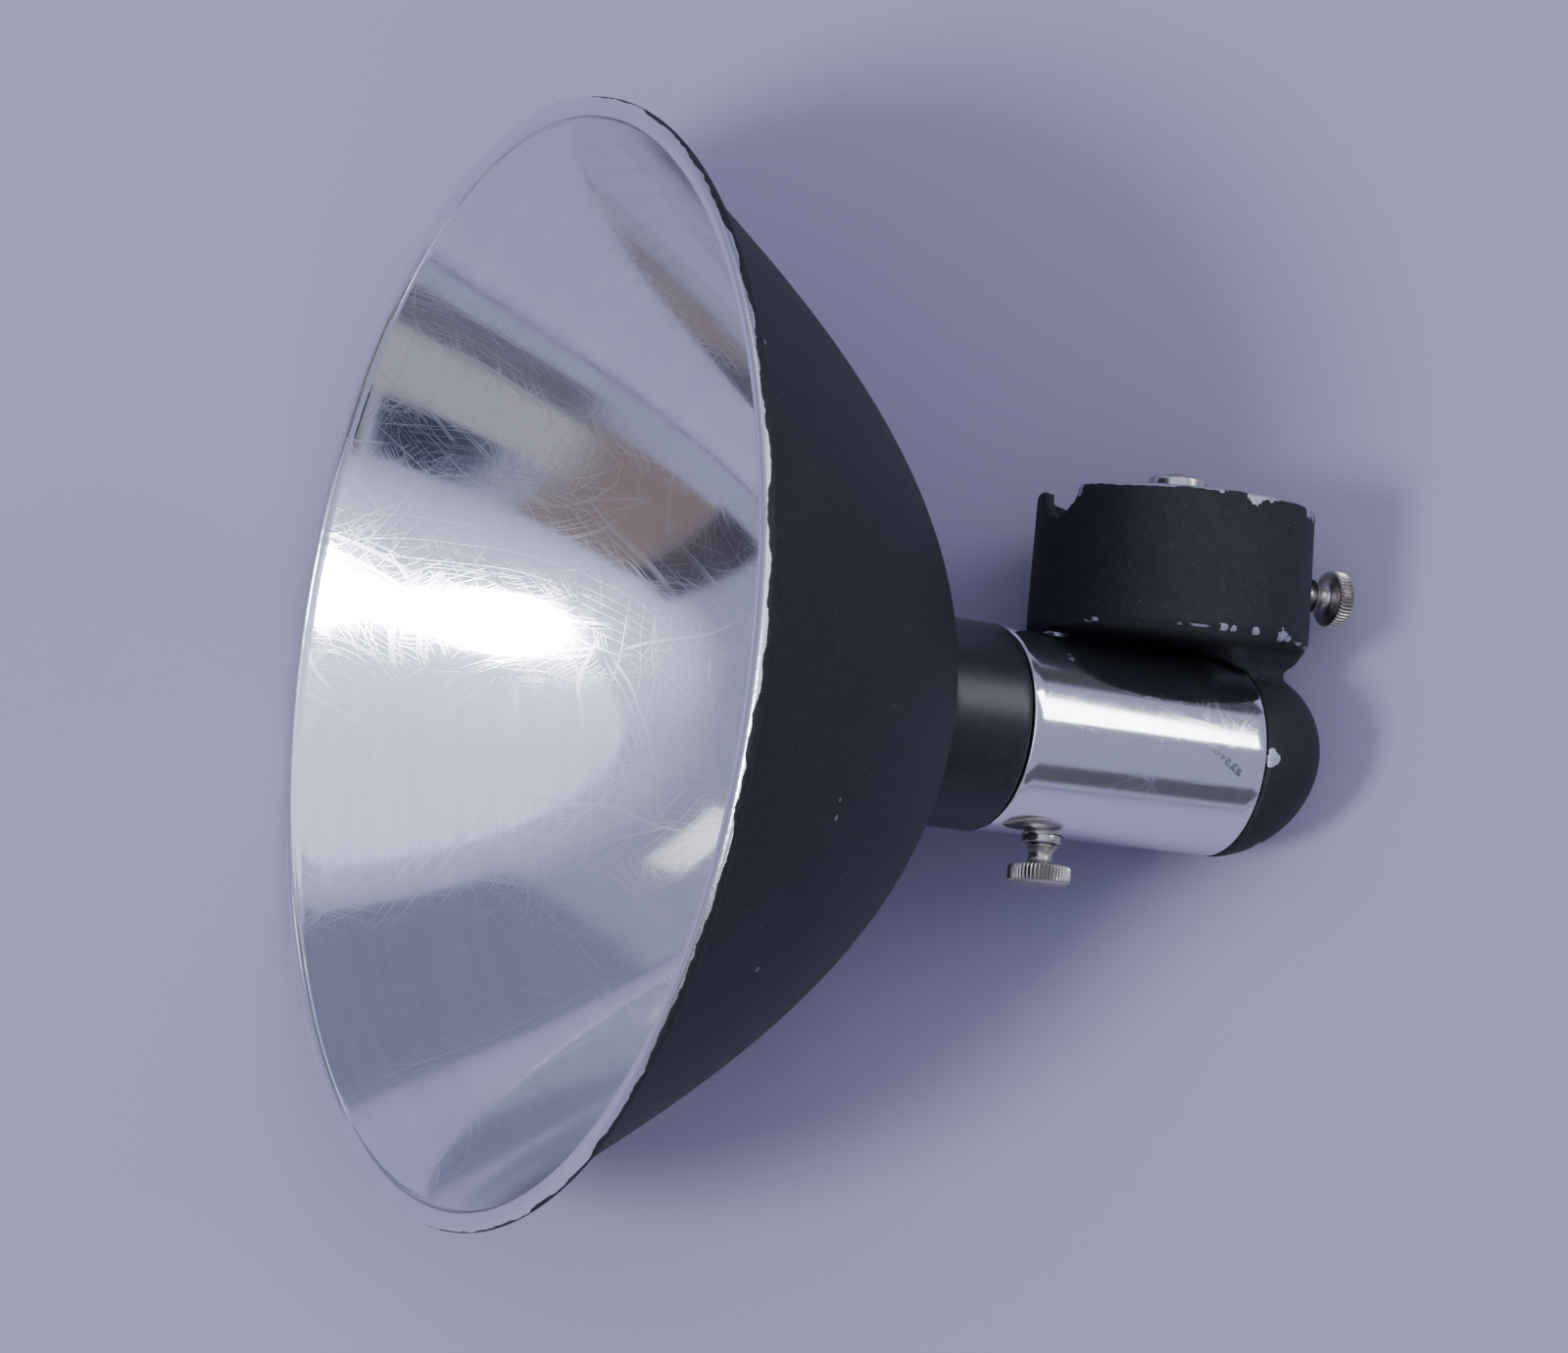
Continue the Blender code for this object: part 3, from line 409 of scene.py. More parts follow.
def makeSpunLines():  # rings left by turning or spinning: they follow "distance", and wander a little round
    tree, given, made = newEffect("spunLines", {"distance": 0.0, "point": None, "pitch": 1.0, "wander": 0.02},
                                  ("height",))
    drift = times(tree, noise(tree, given["point"], 0.03, 1.0), given["wander"])
    ring = plus(tree, calc(tree, "DIVIDE", given["distance"], given["pitch"]), drift)
    spread = put(tree, "SeparateXYZ", {"Vector": scaled(tree, given["point"], 0.012)}).outputs
    line = put(tree, "CombineXYZ", {"X": ring, "Y": spread[1], "Z": spread[2]}).outputs[0]
    feed(tree, made["height"], noise(tree, line, 1.0, 5.0, 0.65))
    return tree


def makeScratches():  # fine hair scratches lying several ways over a surface laid flat, as a mask
    tree, given, made = newEffect("scratches", {"flat": None, "size": 1.0, "amount": 0.5}, ("mask",))
    sized = scaled(tree, given["flat"], given["size"])
    bend = scaled(tree, flatNoise(tree, sized, 0.06)["Color"], 6.0)
    bent = put(tree, "VectorMath", {0: sized, 1: bend}, operation="ADD").outputs[0]
    found = None
    for i, turn in enumerate((8, 37, 71, 98, 126, 158)):
        way = put(tree, "Mapping", {"Vector": bent, "Rotation": (0, 0, radians(turn)),
                                    "Location": (31.0 * i, 17.0 * i, 0)}, vector_type="POINT").outputs[0]
        drawnOut = put(tree, "VectorMath", {0: way, 1: (0.022, 1.0, 1.0)}, operation="MULTIPLY").outputs[0]
        off = calc(tree, "ABSOLUTE", minus(tree, flatNoise(tree, drawnOut, 0.55)["Fac"], 0.5))
        line = minus(tree, 1.0, ramp(tree, off, 0.002, 0.017))
        line = times(tree, line, ramp(tree, flatNoise(tree, way, 0.075)["Fac"], 0.49, 0.58))
        found = line if found is None else most(tree, found, line)
    feed(tree, made["mask"], times(tree, found, given["amount"]))
    return tree


def makePaintChip():  # one ragged chip of lost paint round "centre", as a mask
    tree, given, made = newEffect("paintChip", {"point": None, "centre": None, "radius": 1.0, "ragged": 0.5},
                                  ("mask",))
    ends = {0: given["point"], 1: given["centre"]}
    away = put(tree, "VectorMath", ends, operation="DISTANCE").outputs["Value"]
    rough = minus(tree, noise(tree, given["point"], 0.75, 2.0, 0.5), 0.5)
    reach = scaledSum(tree, rough, times(tree, given["ragged"], given["radius"]), away)
    edge = minus(tree, reach, given["radius"])
    feed(tree, made["mask"], minus(tree, 1.0, ramp(tree, edge, -0.06, 0.06)))
    return tree


def makeEdgeWear():  # paint lost along a ring edge, "away" being the distance from that edge
    tree, given, made = newEffect("edgeWear", {"point": None, "away": 0.0, "width": 1.0, "nicks": 1.0},
                                  ("mask",))
    slow = noise(tree, given["point"], 0.13, 2.0, 0.5)
    quick = noise(tree, given["point"], 0.9, 3.0, 0.65)
    reach = times(tree, given["width"], scaledSum(tree, ramp(tree, slow, 0.35, 0.75), given["nicks"], 0.25))
    wavy = scaledSum(tree, minus(tree, quick, 0.5), given["width"], given["away"])
    feed(tree, made["mask"], minus(tree, 1.0, ramp(tree, minus(tree, wavy, reach), -0.05, 0.05)))
    return tree


def makeSpecks():  # scattered small light specks, as a mask
    tree, given, made = newEffect("specks", {"point": None, "spacing": 4.0, "size": 0.2, "share": 0.2},
                                  ("mask",))
    cells = put(tree, "TexVoronoi", {
        "Vector": given["point"], "Randomness": 1.0, "Scale": calc(tree, "DIVIDE", 1.0, given["spacing"])},
        feature="F1").outputs
    lot = put(tree, "SeparateColor", {"Color": cells["Color"]}).outputs
    away = times(tree, cells["Distance"], given["spacing"])
    near = calc(tree, "LESS_THAN", away, times(tree, given["size"], plus(tree, lot[1], 0.4)))
    feed(tree, made["mask"], times(tree, near, calc(tree, "LESS_THAN", lot[0], given["share"])))
    return tree


def makeWrinkle():  # the fine crinkle of a stoved enamel, as a height
    tree, given, made = newEffect("wrinkle", {"point": None, "pitch": 0.5}, ("height",))
    fine = scaled(tree, given["point"], calc(tree, "DIVIDE", 1.0, given["pitch"]))
    folds = noise(tree, fine, 0.8, 2.0, 0.55, 2.2, "RIDGED_MULTIFRACTAL")
    feed(tree, made["height"], scaledSum(tree, folds, 0.6, noise(tree, fine, 1.9, 2.0, 0.6)))
    return tree


def makeDust():  # uneven grey bloom of dust and handling, as a share
    tree, given, made = newEffect("dust", {"point": None, "amount": 0.5}, ("share",))
    broad = ramp(tree, noise(tree, given["point"], 0.045, 4.0, 0.6), 0.35, 0.75)
    fine = ramp(tree, noise(tree, given["point"], 0.8, 4.0, 0.7), 0.35, 0.8)
    feed(tree, made["share"], times(tree, times(tree, broad, fine), given["amount"]))
    return tree


headPlace = makeHeadPlace()
spunLines = makeSpunLines()
scratches = makeScratches()
paintChip = makePaintChip()
edgeWear = makeEdgeWear()
specks = makeSpecks()
wrinkle = makeWrinkle()
dust = makeDust()


def newFinish(name):
    material = bpy.data.materials.new(name)
    material.use_nodes = True
    tree = material.node_tree
    shader = tree.nodes["Principled BSDF"]
    return material, tree, shader, effect(tree, headPlace)


def setShader(tree, shader, **values):
    names = {"color": "Base Color", "rough": "Roughness", "metal": "Metallic", "normal": "Normal",
             "coat": "Coat Weight", "coatRough": "Coat Roughness", "specular": "Specular IOR Level",
             "anisotropic": "Anisotropic"}
    for key, value in values.items():
        socket = shader.inputs[names[key]]
        feed(tree, socket, (*value, 1.0) if isinstance(value, tuple) else value)


def bump(tree, height, distance, strength=1.0, under=None):
    values = {"Height": height, "Distance": distance * mm, "Strength": strength}
    if under is not None:
        values["Normal"] = under
    return put(tree, "Bump", values).outputs["Normal"]


# dull alloy where paint is lost
bareMetal = {"color": (0.42, 0.45, 0.48), "pitted": (0.30, 0.32, 0.35), "rough": 0.5}

polished = {"color": (0.83, 0.835, 0.87), "hazy": (0.79, 0.79, 0.83), "lined": (0.70, 0.70, 0.75),
            "scratched": (0.93, 0.93, 0.95), "rough": 0.055, "linePitch": 0.55, "lineDepth": 0.0060,
            "scratchDepth": 0.004, "hazeCoat": 0.6, "hazeRough": 0.34}


def makePolishedAluminium():
    material, tree, shader, head = newFinish("polishedSpunAluminium")
    across = plus(tree, times(tree, head["alongBarrel"], -1.0), head["fromBarrel"])
    rings = effect(tree, spunLines, distance=across, point=head["point"], pitch=polished["linePitch"],
                   wander=1.2)
    hairs = effect(tree, scratches, flat=head["seenAlong"], size=0.70, amount=0.8)["mask"]
    finer = effect(tree, scratches, flat=head["seenAlong"], size=1.6, amount=0.5)["mask"]
    worn = most(tree, hairs, finer)
    haze = ramp(tree, noise(tree, head["point"], 0.05, 4.0, 0.6), 0.35, 0.75)
    lines = ramp(tree, rings["height"], 0.35, 0.7)
    rough = summed(tree, polished["rough"], (lines, 0.03), (haze, 0.035), (worn, 0.13))
    tone = coated(tree, polished["color"], (times(tree, haze, 0.5), polished["hazy"]),
                  (times(tree, lines, 0.45), polished["lined"]),
                  (times(tree, worn, 0.2), polished["scratched"]))
    normal = bump(tree, rings["height"], polished["lineDepth"], 0.7)
    normal = bump(tree, worn, polished["scratchDepth"], 0.6, normal)
    setShader(tree, shader, color=tone, rough=rough, metal=1.0, normal=normal, coat=polished["hazeCoat"],
              coatRough=polished["hazeRough"])
    return material


bowlBlack = {"color": (0.010, 0.0105, 0.013), "grey": (0.026, 0.026, 0.030), "rubbed": (0.045, 0.045, 0.050),
             "speck": (0.20, 0.20, 0.21), "rough": 0.60, "grainDepth": 0.06}


def makeBowlBlack(lipX, beadRadius):
    material, tree, shader, head = newFinish("bowlMatBlack")
    # the bead's paint has gone from its crown, in a ragged line
    fromCrown = minus(tree, minus(tree, lipX, head["alongBarrel"]), -0.12)
    worn = wear(tree, edgeWear, head, away=fromCrown, width=0.45, nicks=1.7)
    outer = calc(tree, "GREATER_THAN", head["fromBarrel"], beadRadius)
    worn = times(tree, worn, outer)
    dots = wear(tree, specks, head, spacing=8.0, size=0.34, share=0.45)
    fineDots = wear(tree, specks, head, spacing=3.0, size=0.13, share=0.35)
    bloom = wear(tree, dust, head, amount=0.9)
    grain = noise(tree, head["point"], 2.2, 3.0, 0.6)
    color = coated(tree, bowlBlack["color"], (bloom, bowlBlack["grey"]),
                   (ramp(tree, grain, 0.5, 0.72, 0.0, 0.55), bowlBlack["rubbed"]),
                   (times(tree, most(tree, dots, fineDots), 0.8), bowlBlack["speck"]),
                   (worn, polished["color"]))
    rough = scaledSum(tree, grain, 0.16, bowlBlack["rough"] - 0.08)
    rough = mixValue(tree, worn, rough, 0.2)
    height = minus(tree, grain, times(tree, worn, 1.6))
    setShader(tree, shader, color=color, rough=rough, metal=worn, specular=0.3,
              normal=bump(tree, height, bowlBlack["grainDepth"], 0.8))
    return material


barrelBright = {"color": (0.84, 0.84, 0.87), "rough": 0.075, "linePitch": 0.16, "lineDepth": 0.0010,
                "nicks": [((-0.6, -16.2, 0.3), 0.45), ((-1.6, -16.1, 1.0), 0.55), ((-2.7, -16.05, 1.6), 0.5),
                          ((-3.8, -16.0, 2.2), 0.6), ((-4.9, -15.8, 3.0), 0.75), ((-6.0, -15.6, 3.6), 0.7)]}


def makeBarrelBright():
    material, tree, shader, head = newFinish("barrelBright")
    rings = effect(tree, spunLines, distance=head["alongBarrel"], point=head["point"],
                   pitch=barrelBright["linePitch"], wander=0.6)
    hairs = effect(tree, scratches, flat=head["unrolled"], size=1.0, amount=0.35)["mask"]
    haze = ramp(tree, noise(tree, head["point"], 0.09, 3.0, 0.55), 0.4, 0.75)
    rub = 0.0     # a few dents and rubbed marks near the cap, in one slanting line
    for centre, radius in barrelBright["nicks"]:
        mark = wear(tree, paintChip, head, centre=centre, radius=radius, ragged=2.6)
        rub = most(tree, mark, rub)
    rub = times(tree, rub, ramp(tree, noise(tree, head["point"], 1.6, 3.0), 0.38, 0.46))
    rough = summed(tree, barrelBright["rough"], (rings["height"], 0.03), (haze, 0.03),
                   (most(tree, hairs, rub), 0.22))
    color = mixColor(tree, times(tree, rub, 0.85), barrelBright["color"], (0.20, 0.205, 0.23))
    normal = bump(tree, rings["height"], barrelBright["lineDepth"], 0.6)
    normal = bump(tree, plus(tree, hairs, rub), 0.003, 0.5, normal)
    setShader(tree, shader, color=color, rough=rough, metal=1.0, normal=normal)
    return material


wrinkleEnamel = {"color": (0.010, 0.0108, 0.0135), "grey": (0.026, 0.0275, 0.032), "pitch": 0.42,
                 "crest": (0.060, 0.062, 0.070), "rubbed": (0.050, 0.052, 0.060),
                 "speck": (0.17, 0.18, 0.19), "depth": 0.12}
chips = [  # centre in head axes, and size, of each larger chip
    ((-1.6, -22.9, -41.0), 1.9), ((-4.6, -22.6, -41.3), 1.1), ((4.6, -22.5, -41.3), 0.9),
    ((-15.2, -17.2, -41.0), 1.4), ((-17.0, -15.4, -40.4), 1.3), ((22.1, -6.2, -41.0), 1.5),
    ((2.9, -23.1, -18.6), 0.85), ((1.2, -23.2, -18.5), 0.6), ((-3.2, -23.0, -18.6), 0.8),
    ((-9.4, -21.2, -18.8), 1.15), ((-10.9, -20.5, -18.4), 0.7), ((20.4, -11.2, -18.4), 0.6),
    ((-12.3, -16.1, 0.6), 1.3), ((-17.4, -5.0, 14.0), 0.9), ((-20.6, 4.0, 11.6), 0.7)]


def makeWrinkleEnamel(rimZ, rimRadius, backZ):
    material, tree, shader, head = newFinish("blackWrinkleEnamel")
    lost = None
    for centre, radius in chips:
        chip = wear(tree, paintChip, head, centre=centre, radius=radius, ragged=2.2)
        lost = chip if lost is None else most(tree, lost, chip)
    fromRim = minus(tree, head["alongCollar"], rimZ)
    rimWear = wear(tree, edgeWear, head, away=fromRim, width=0.55, nicks=1.1)
    lost = most(tree, lost, rimWear)
    offBack = calc(tree, "ABSOLUTE", minus(tree, head["alongCollar"], backZ - 0.55))
    offSide = calc(tree, "ABSOLUTE", minus(tree, head["fromCollar"], rimRadius - 0.15))
    backWear = wear(tree, edgeWear, head, away=plus(tree, offBack, offSide), width=0.5,
                    nicks=0.8)
    lost = most(tree, lost, times(tree, backWear, ramp(tree, noise(tree, head["point"], 0.11), 0.55, 0.6)))
    folds = wear(tree, wrinkle, head, pitch=wrinkleEnamel["pitch"])
    dots = wear(tree, specks, head, spacing=4.6, size=0.24, share=0.4)
    fineDots = wear(tree, specks, head, spacing=1.9, size=0.10, share=0.3)
    bloom = wear(tree, dust, head, amount=1.0)
    mottle = noise(tree, head["point"], 1.5, 4.0, 0.7)
    pits = noise(tree, head["point"], 1.7, 3.0, 0.6)
    bare = mixColor(tree, ramp(tree, pits, 0.35, 0.7), bareMetal["color"], bareMetal["pitted"])
    color = coated(tree, wrinkleEnamel["color"], (bloom, wrinkleEnamel["grey"]),
                   (ramp(tree, folds, 0.7, 1.2, 0.0, 0.35), wrinkleEnamel["crest"]),
                   (times(tree, most(tree, dots, fineDots), 0.75), wrinkleEnamel["speck"]),
                   (ramp(tree, mottle, 0.5, 0.72, 0.0, 0.36), wrinkleEnamel["rubbed"]), (lost, bare))
    rough = mixValue(tree, lost, ramp(tree, folds, 0.5, 1.3, 0.66, 0.5), bareMetal["rough"])
    shine = times(tree, lost, 0.75)
    height = mixValue(tree, lost, folds, -0.9)
    setShader(tree, shader, color=color, rough=rough, metal=shine, specular=0.35,
              normal=bump(tree, height, wrinkleEnamel["depth"], 0.9))
    return material


satinBlack = {"color": (0.013, 0.013, 0.016), "grey": (0.035, 0.035, 0.040), "speck": (0.16, 0.15, 0.14),
              "rough": 0.36, "linePitch": 0.5, "lineDepth": 0.004}


def makeSatinBlack():
    material, tree, shader, head = newFinish("blackSatin")
    rings = effect(tree, spunLines, distance=head["alongBarrel"], point=head["point"],
                   pitch=satinBlack["linePitch"], wander=0.5)
    bloom = wear(tree, dust, head, amount=0.8)
    dots = wear(tree, specks, head, spacing=5.0, size=0.14, share=0.35)
    color = coated(tree, satinBlack["color"], (bloom, satinBlack["grey"]),
                   (times(tree, dots, 0.7), satinBlack["speck"]))
    rough = scaledSum(tree, bloom, 0.15, satinBlack["rough"])
    grain = noise(tree, head["point"], 3.0, 3.0, 0.6)
    normal = bump(tree, rings["height"], satinBlack["lineDepth"], 0.6)
    normal = bump(tree, grain, 0.010, 0.6, normal)
    setShader(tree, shader, color=color, rough=rough, normal=normal)
    return material


def makeTurnedMetal(name, color, dark, rough, pitch, around="fromBarrel", shadeGrooves=False, depth=0.004):
    # plated or plain turned parts; grime darkens them at random, and painted shade darkens the grooves of a
    # knurl by their depth
    material, tree, shader, head = newFinish(name)
    rings = effect(tree, spunLines, distance=head[around], point=head["point"], pitch=pitch, wander=0.5)
    hairs = effect(tree, scratches, flat=head["seenAlong"], size=2.0, amount=0.5)["mask"]
    stain = ramp(tree, noise(tree, head["point"], 0.35, 4.0, 0.62), 0.4, 0.75)
    grimeAndGrooveShade = times(tree, stain, 0.45)
    # painted shade: a knurl's grooves are darkened by how deep they lie, standing in for the shade that falls
    # in them
    if shadeGrooves:
        cut = put(tree, "Attribute", attribute_name="groove", attribute_type="GEOMETRY").outputs["Fac"]
        grimeAndGrooveShade = most(tree, grimeAndGrooveShade, times(tree, ramp(tree, cut, 0.35, 1.0), 0.85))
    # one dark colour lays both the random grime and the painted groove shade
    tone = mixColor(tree, grimeAndGrooveShade, color, dark)
    roughness = summed(tree, rough, (stain, 0.12), (hairs, 0.2))
    normal = bump(tree, rings["height"], depth, 0.6)
    normal = bump(tree, hairs, 0.004, 0.5, normal)
    setShader(tree, shader, color=tone, rough=roughness, metal=1.0, normal=normal)
    return material


def makePhenolic():
    material, tree, shader, head = newFinish("mouldedPhenolic")
    mottle = ramp(tree, noise(tree, head["point"], 0.7, 5.0, 0.65), 0.35, 0.7)
    bloom = wear(tree, dust, head, amount=0.6)
    color = mixColor(tree, mottle, (0.020, 0.014, 0.011), (0.042, 0.028, 0.020))
    color = mixColor(tree, bloom, color, (0.07, 0.065, 0.06))
    rough = scaledSum(tree, bloom, 0.25, 0.33)
    normal = bump(tree, noise(tree, head["point"], 2.5, 3.0), 0.012, 0.5)
    setShader(tree, shader, color=color, rough=rough, normal=normal)
    return material


def makeLead(name, color, worn):
    material, tree, shader, head = newFinish(name)
    mottle = ramp(tree, noise(tree, head["point"], 1.4, 4.0, 0.6), 0.35, 0.75)
    rough = scaledSum(tree, mottle, 0.15, 0.48)
    setShader(tree, shader, color=mixColor(tree, mottle, color, worn), rough=rough,
              normal=bump(tree, noise(tree, head["point"], 5.0, 3.0), 0.02, 0.5))
    return material


print("finishes ready")


# ---- the bowl: spun, with its edge rolled outward
bowl = {"edgeRadius": 87.5, "depth": 71.5, "shape": 0.92, "power": 0.465, "wall": 0.9, "seatRadius": 16.1,
        "lipReach": 0.55, "beadCentre": 87.4, "beadBack": 0.75, "beadAxial": 1.3, "beadRadial": 1.6,
        "wallStart": 86.0, "rows": 50, "steps": 288}


def bowlDepthAt(radius):
    inner = 1 - (radius / bowl["edgeRadius"]) ** (1 / bowl["power"])
    return bowl["depth"] * inner ** (1 / bowl["shape"])


def makeBowl():
    low, high = headBox("reflector_bowl")
    lipX = high.x - bowl["lipReach"]
    beadX = lipX - bowl["beadBack"]
    wall, start, seat = bowl["wall"], bowl["wallStart"], bowl["seatRadius"]
    outline = []
    for i in range(27):     # the rolled edge
        a = radians(-90 + 282 * i / 26)
        outline.append((beadX + bowl["beadAxial"] * cos(a), bowl["beadCentre"] + bowl["beadRadial"] * sin(a)))
    radii = [start + (seat - start) * i / bowl["rows"] for i in range(bowl["rows"] + 1)]
    outline += [(lipX - bowlDepthAt(r), r) for r in radii]
    outline += [(low.x, seat - 0.6), (low.x, 14.1), (low.x + 1.0, 14.1)]
    for r in reversed(radii):
        along = (bowlDepthAt(r - 0.05) - bowlDepthAt(r + 0.05)) / 0.1
        size = hypot(1.0, along)
        outline.append((lipX - bowlDepthAt(r) + wall / size, r - wall * along / size))
    bm = turned(outline, bowl["steps"])

    def side(centre):
        r = hypot(centre.y, centre.z)
        if r > start:
            front = centre.x > beadX + 1.1 or (centre.x > beadX - 0.2 and r < bowl["beadCentre"])
            return 0 if front else 1
        if r < seat + 0.05:
            return 1 if centre.x < low.x + 0.5 else 0
        return 1 if centre.x < lipX - bowlDepthAt(r) + wall * 0.5 else 0

    outside = makeBowlBlack(lipX, bowl["beadCentre"] - 0.6)
    addPiece("reflectorBowl", bm, [polishedAluminium, outside], sharp=50, slotOf=side)


polishedAluminium = makePolishedAluminium()
barrelMetal = makeBarrelBright()
blackSatin = makeSatinBlack()
nickelKnurled = makeTurnedMetal("nickelKnurled", (0.60, 0.555, 0.50), (0.10, 0.085, 0.07), 0.30, 0.35,
                                "alongCollar", True)
nickelPlate = makeTurnedMetal("nickelPlate", (0.58, 0.55, 0.51), (0.16, 0.14, 0.12), 0.22, 0.35,
                              "alongCollar")
plainSteel = makeTurnedMetal("plainSteel", (0.50, 0.49, 0.49), (0.14, 0.12, 0.10), 0.28, 0.4)
turnedBrass = makeTurnedMetal("turnedBrass", (0.72, 0.54, 0.26), (0.20, 0.12, 0.06), 0.26, 0.4)
springSteel = makeTurnedMetal("springSteel", (0.42, 0.42, 0.43), (0.12, 0.11, 0.10), 0.3, 0.6)
phenolic = makePhenolic()

makeBowl()


# ---- the neck that carries the bowl and slides in the barrel
neck = {"sleeve": 14.45, "round": 0.9, "wall": 1.05, "mouth": 12.4, "nose": 13.8, "slotHalf": 1.75,
        "slotLow": 4.1, "slotHigh": 22.7}


def makeNeck():
    low, high = headBox("reflector_neck")
    bowlLow = headBox("reflector_bowl")[0]
    barrelFront = headBox("barrel")[1].x
    front, rear = bowlLow.x - 0.3, barrelFront + 0.3
    sleeve, outer, bore, half = neck["sleeve"], high.y, neck["sleeve"] - neck["wall"], neck["slotHalf"]
    rows = [(rear + (front - rear) * i / 8, outer) for i in range(1, 8)]
    outline = [(rear, sleeve), (rear, outer, neck["round"])] + rows + [(front, outer, neck["round"]),
               (front, neck["nose"]), (high.x, neck["nose"], 0.3), (high.x, neck["mouth"], 0.3),
               (front - 1.5, neck["mouth"]), (front - 2.5, bore), (low.x, bore, 0.2), (low.x, sleeve, 0.3)]
    slot = bar((neck["slotLow"], -half, -sleeve - 1.5), (neck["slotHigh"], half, -bore + 2.5), half - 0.05, 8,
               upright)
    addPiece("reflectorNeck", cutBy(turned(outline, 160), slot), blackSatin)


makeNeck()

ringNut = {"slots": 4, "slotWidth": 1.6}


def makeRingNut():
    low, high = headBox("bowl_ring_nut")
    bore = neck["nose"] + 0.3
    outer = high.y
    half = ringNut["slotWidth"] / 2
    cutters = []
    for i in range(ringNut["slots"]):
        cutter = bar((low.x + 0.8, bore - 1, -half), (high.x + 1, outer + 2, half))
        cutters.append(moved(cutter, spinBy(45 + 90 * i, "X")))
    outline = [(low.x, bore, 0.1), (low.x, outer, 0.15), (high.x, outer, 0.4), (high.x, bore, 0.15)]
    addPiece("bowlRingNut", cutBy(turned(outline, 128), *cutters), turnedBrass)


makeRingNut()
print("bowl and neck made")


# ---- the barrel, with its holes
barrel = {"bore": 14.8, "frontRound": 0.45, "fixAngles": (52.0, 128.0), "fixHole": 1.35, "pinHole": 1.7,
          "bushHole": 3.05, "spotFace": 3.6, "spotDepth": 0.35, "spigotFront": -3.0, "rearRadius": 16.0,
          "taper": 0.7}
screwHole = 1.35
fixX = (headLay["barrelRear"] + barrel["spigotFront"]) / 2
screwX = middle("barrel_thumb_screw").x
bushLow, bushHigh = headBox("barrel_screw_bush")


def barrelRadius(x):
    low, high = headBox("barrel")
    return barrel["rearRadius"] + barrel["taper"] * (x - low.x) / (high.x - low.x)


def fixHole(radius, angle, steps):  # for a screw that holds the barrel on the housing's spigot
    return moved(moved(rod(radius, 10, 20, steps=steps), spinBy(-angle, "X")), shift(fixX))


def makeBarrel():
    low, high = headBox("barrel")
    bore = barrel["bore"]
    stations = [low.x + (high.x - low.x) * i / 22 for i in range(1, 22)]
    outline = [(low.x, bore, 0.15), (low.x, barrelRadius(low.x), 0.3)]
    outline += [(x, barrelRadius(x)) for x in stations]
    outline += [(high.x, barrelRadius(high.x), barrel["frontRound"]), (high.x, bore, 0.25)]
    spot = barrelRadius(screwX) - barrel["spotDepth"]
    holes = [moved(rod(barrel[radius], first, last, steps=steps), shift(screwX))
             for radius, first, last, steps in (("bushHole", bore - 3, 20, 64), ("spotFace", spot, 20, 72),
                                                ("pinHole", -20, -bore + 3, 48))]
    holes += [fixHole(barrel["fixHole"], a, 40) for a in barrel["fixAngles"]]
    addPiece("barrelTube", cutBy(turned(outline, 240), *holes), barrelMetal)


makeBarrel()


# ---- the rear casting: domed cap, arm and clamp collar in one piece
casting = {"grain": 0.45, "soften": 3, "cornerSoften": 14, "stretch": 1.07, "lean": 0.13, "capRadius": 16.2,
           "capWall": 2.4, "spigot": 14.5, "spigotBore": 12.0, "collarRadius": 22.95, "collarDraft": 0.4,
           "collarBore": 21.1, "collarTop": -18.0, "ceiling": 2.4, "edgeRound": 1.1, "notchRadius": 5.2,
           "notchDepth": 4.8, "notchTurn": -2.0, "armHalf": 9.0, "ductX": -14.6, "ductRadius": 2.6,
           "clampHole": 2.1, "bossRing": 14.0, "bossRadius": 3.0, "bossAngles": (0.0, 120.0, 240.0)}
spigotFront = barrel["spigotFront"]
collarTop, collarRim = casting["collarTop"], headBox("rear_housing")[0].z
ceilingZ = collarTop - casting["ceiling"]
capRear = headLay["barrelRear"] - 0.3
clampZ = middle("collar_thumb_screw").z
discTop = headBox("plug_disc")[1].z
plugEnd = headBox("plug_shell")[0].z


def onBossRing(angle):
    around = radians(angle)
    return shift(casting["bossRing"] * cos(around), casting["bossRing"] * sin(around))


def leaned(bm):
    for v in bm.verts:
        behind = v.co.x - capRear
        if behind < 0:
            v.co.x = capRear + behind * casting["stretch"]
            v.co.z += behind * casting["lean"]
    return bm


def quarter(centreX, radius, steps, last=90.0):
    return [(centreX - radius * cos(radians(last * i / steps)), radius * sin(radians(last * i / steps)))
            for i in range(steps + 1)]


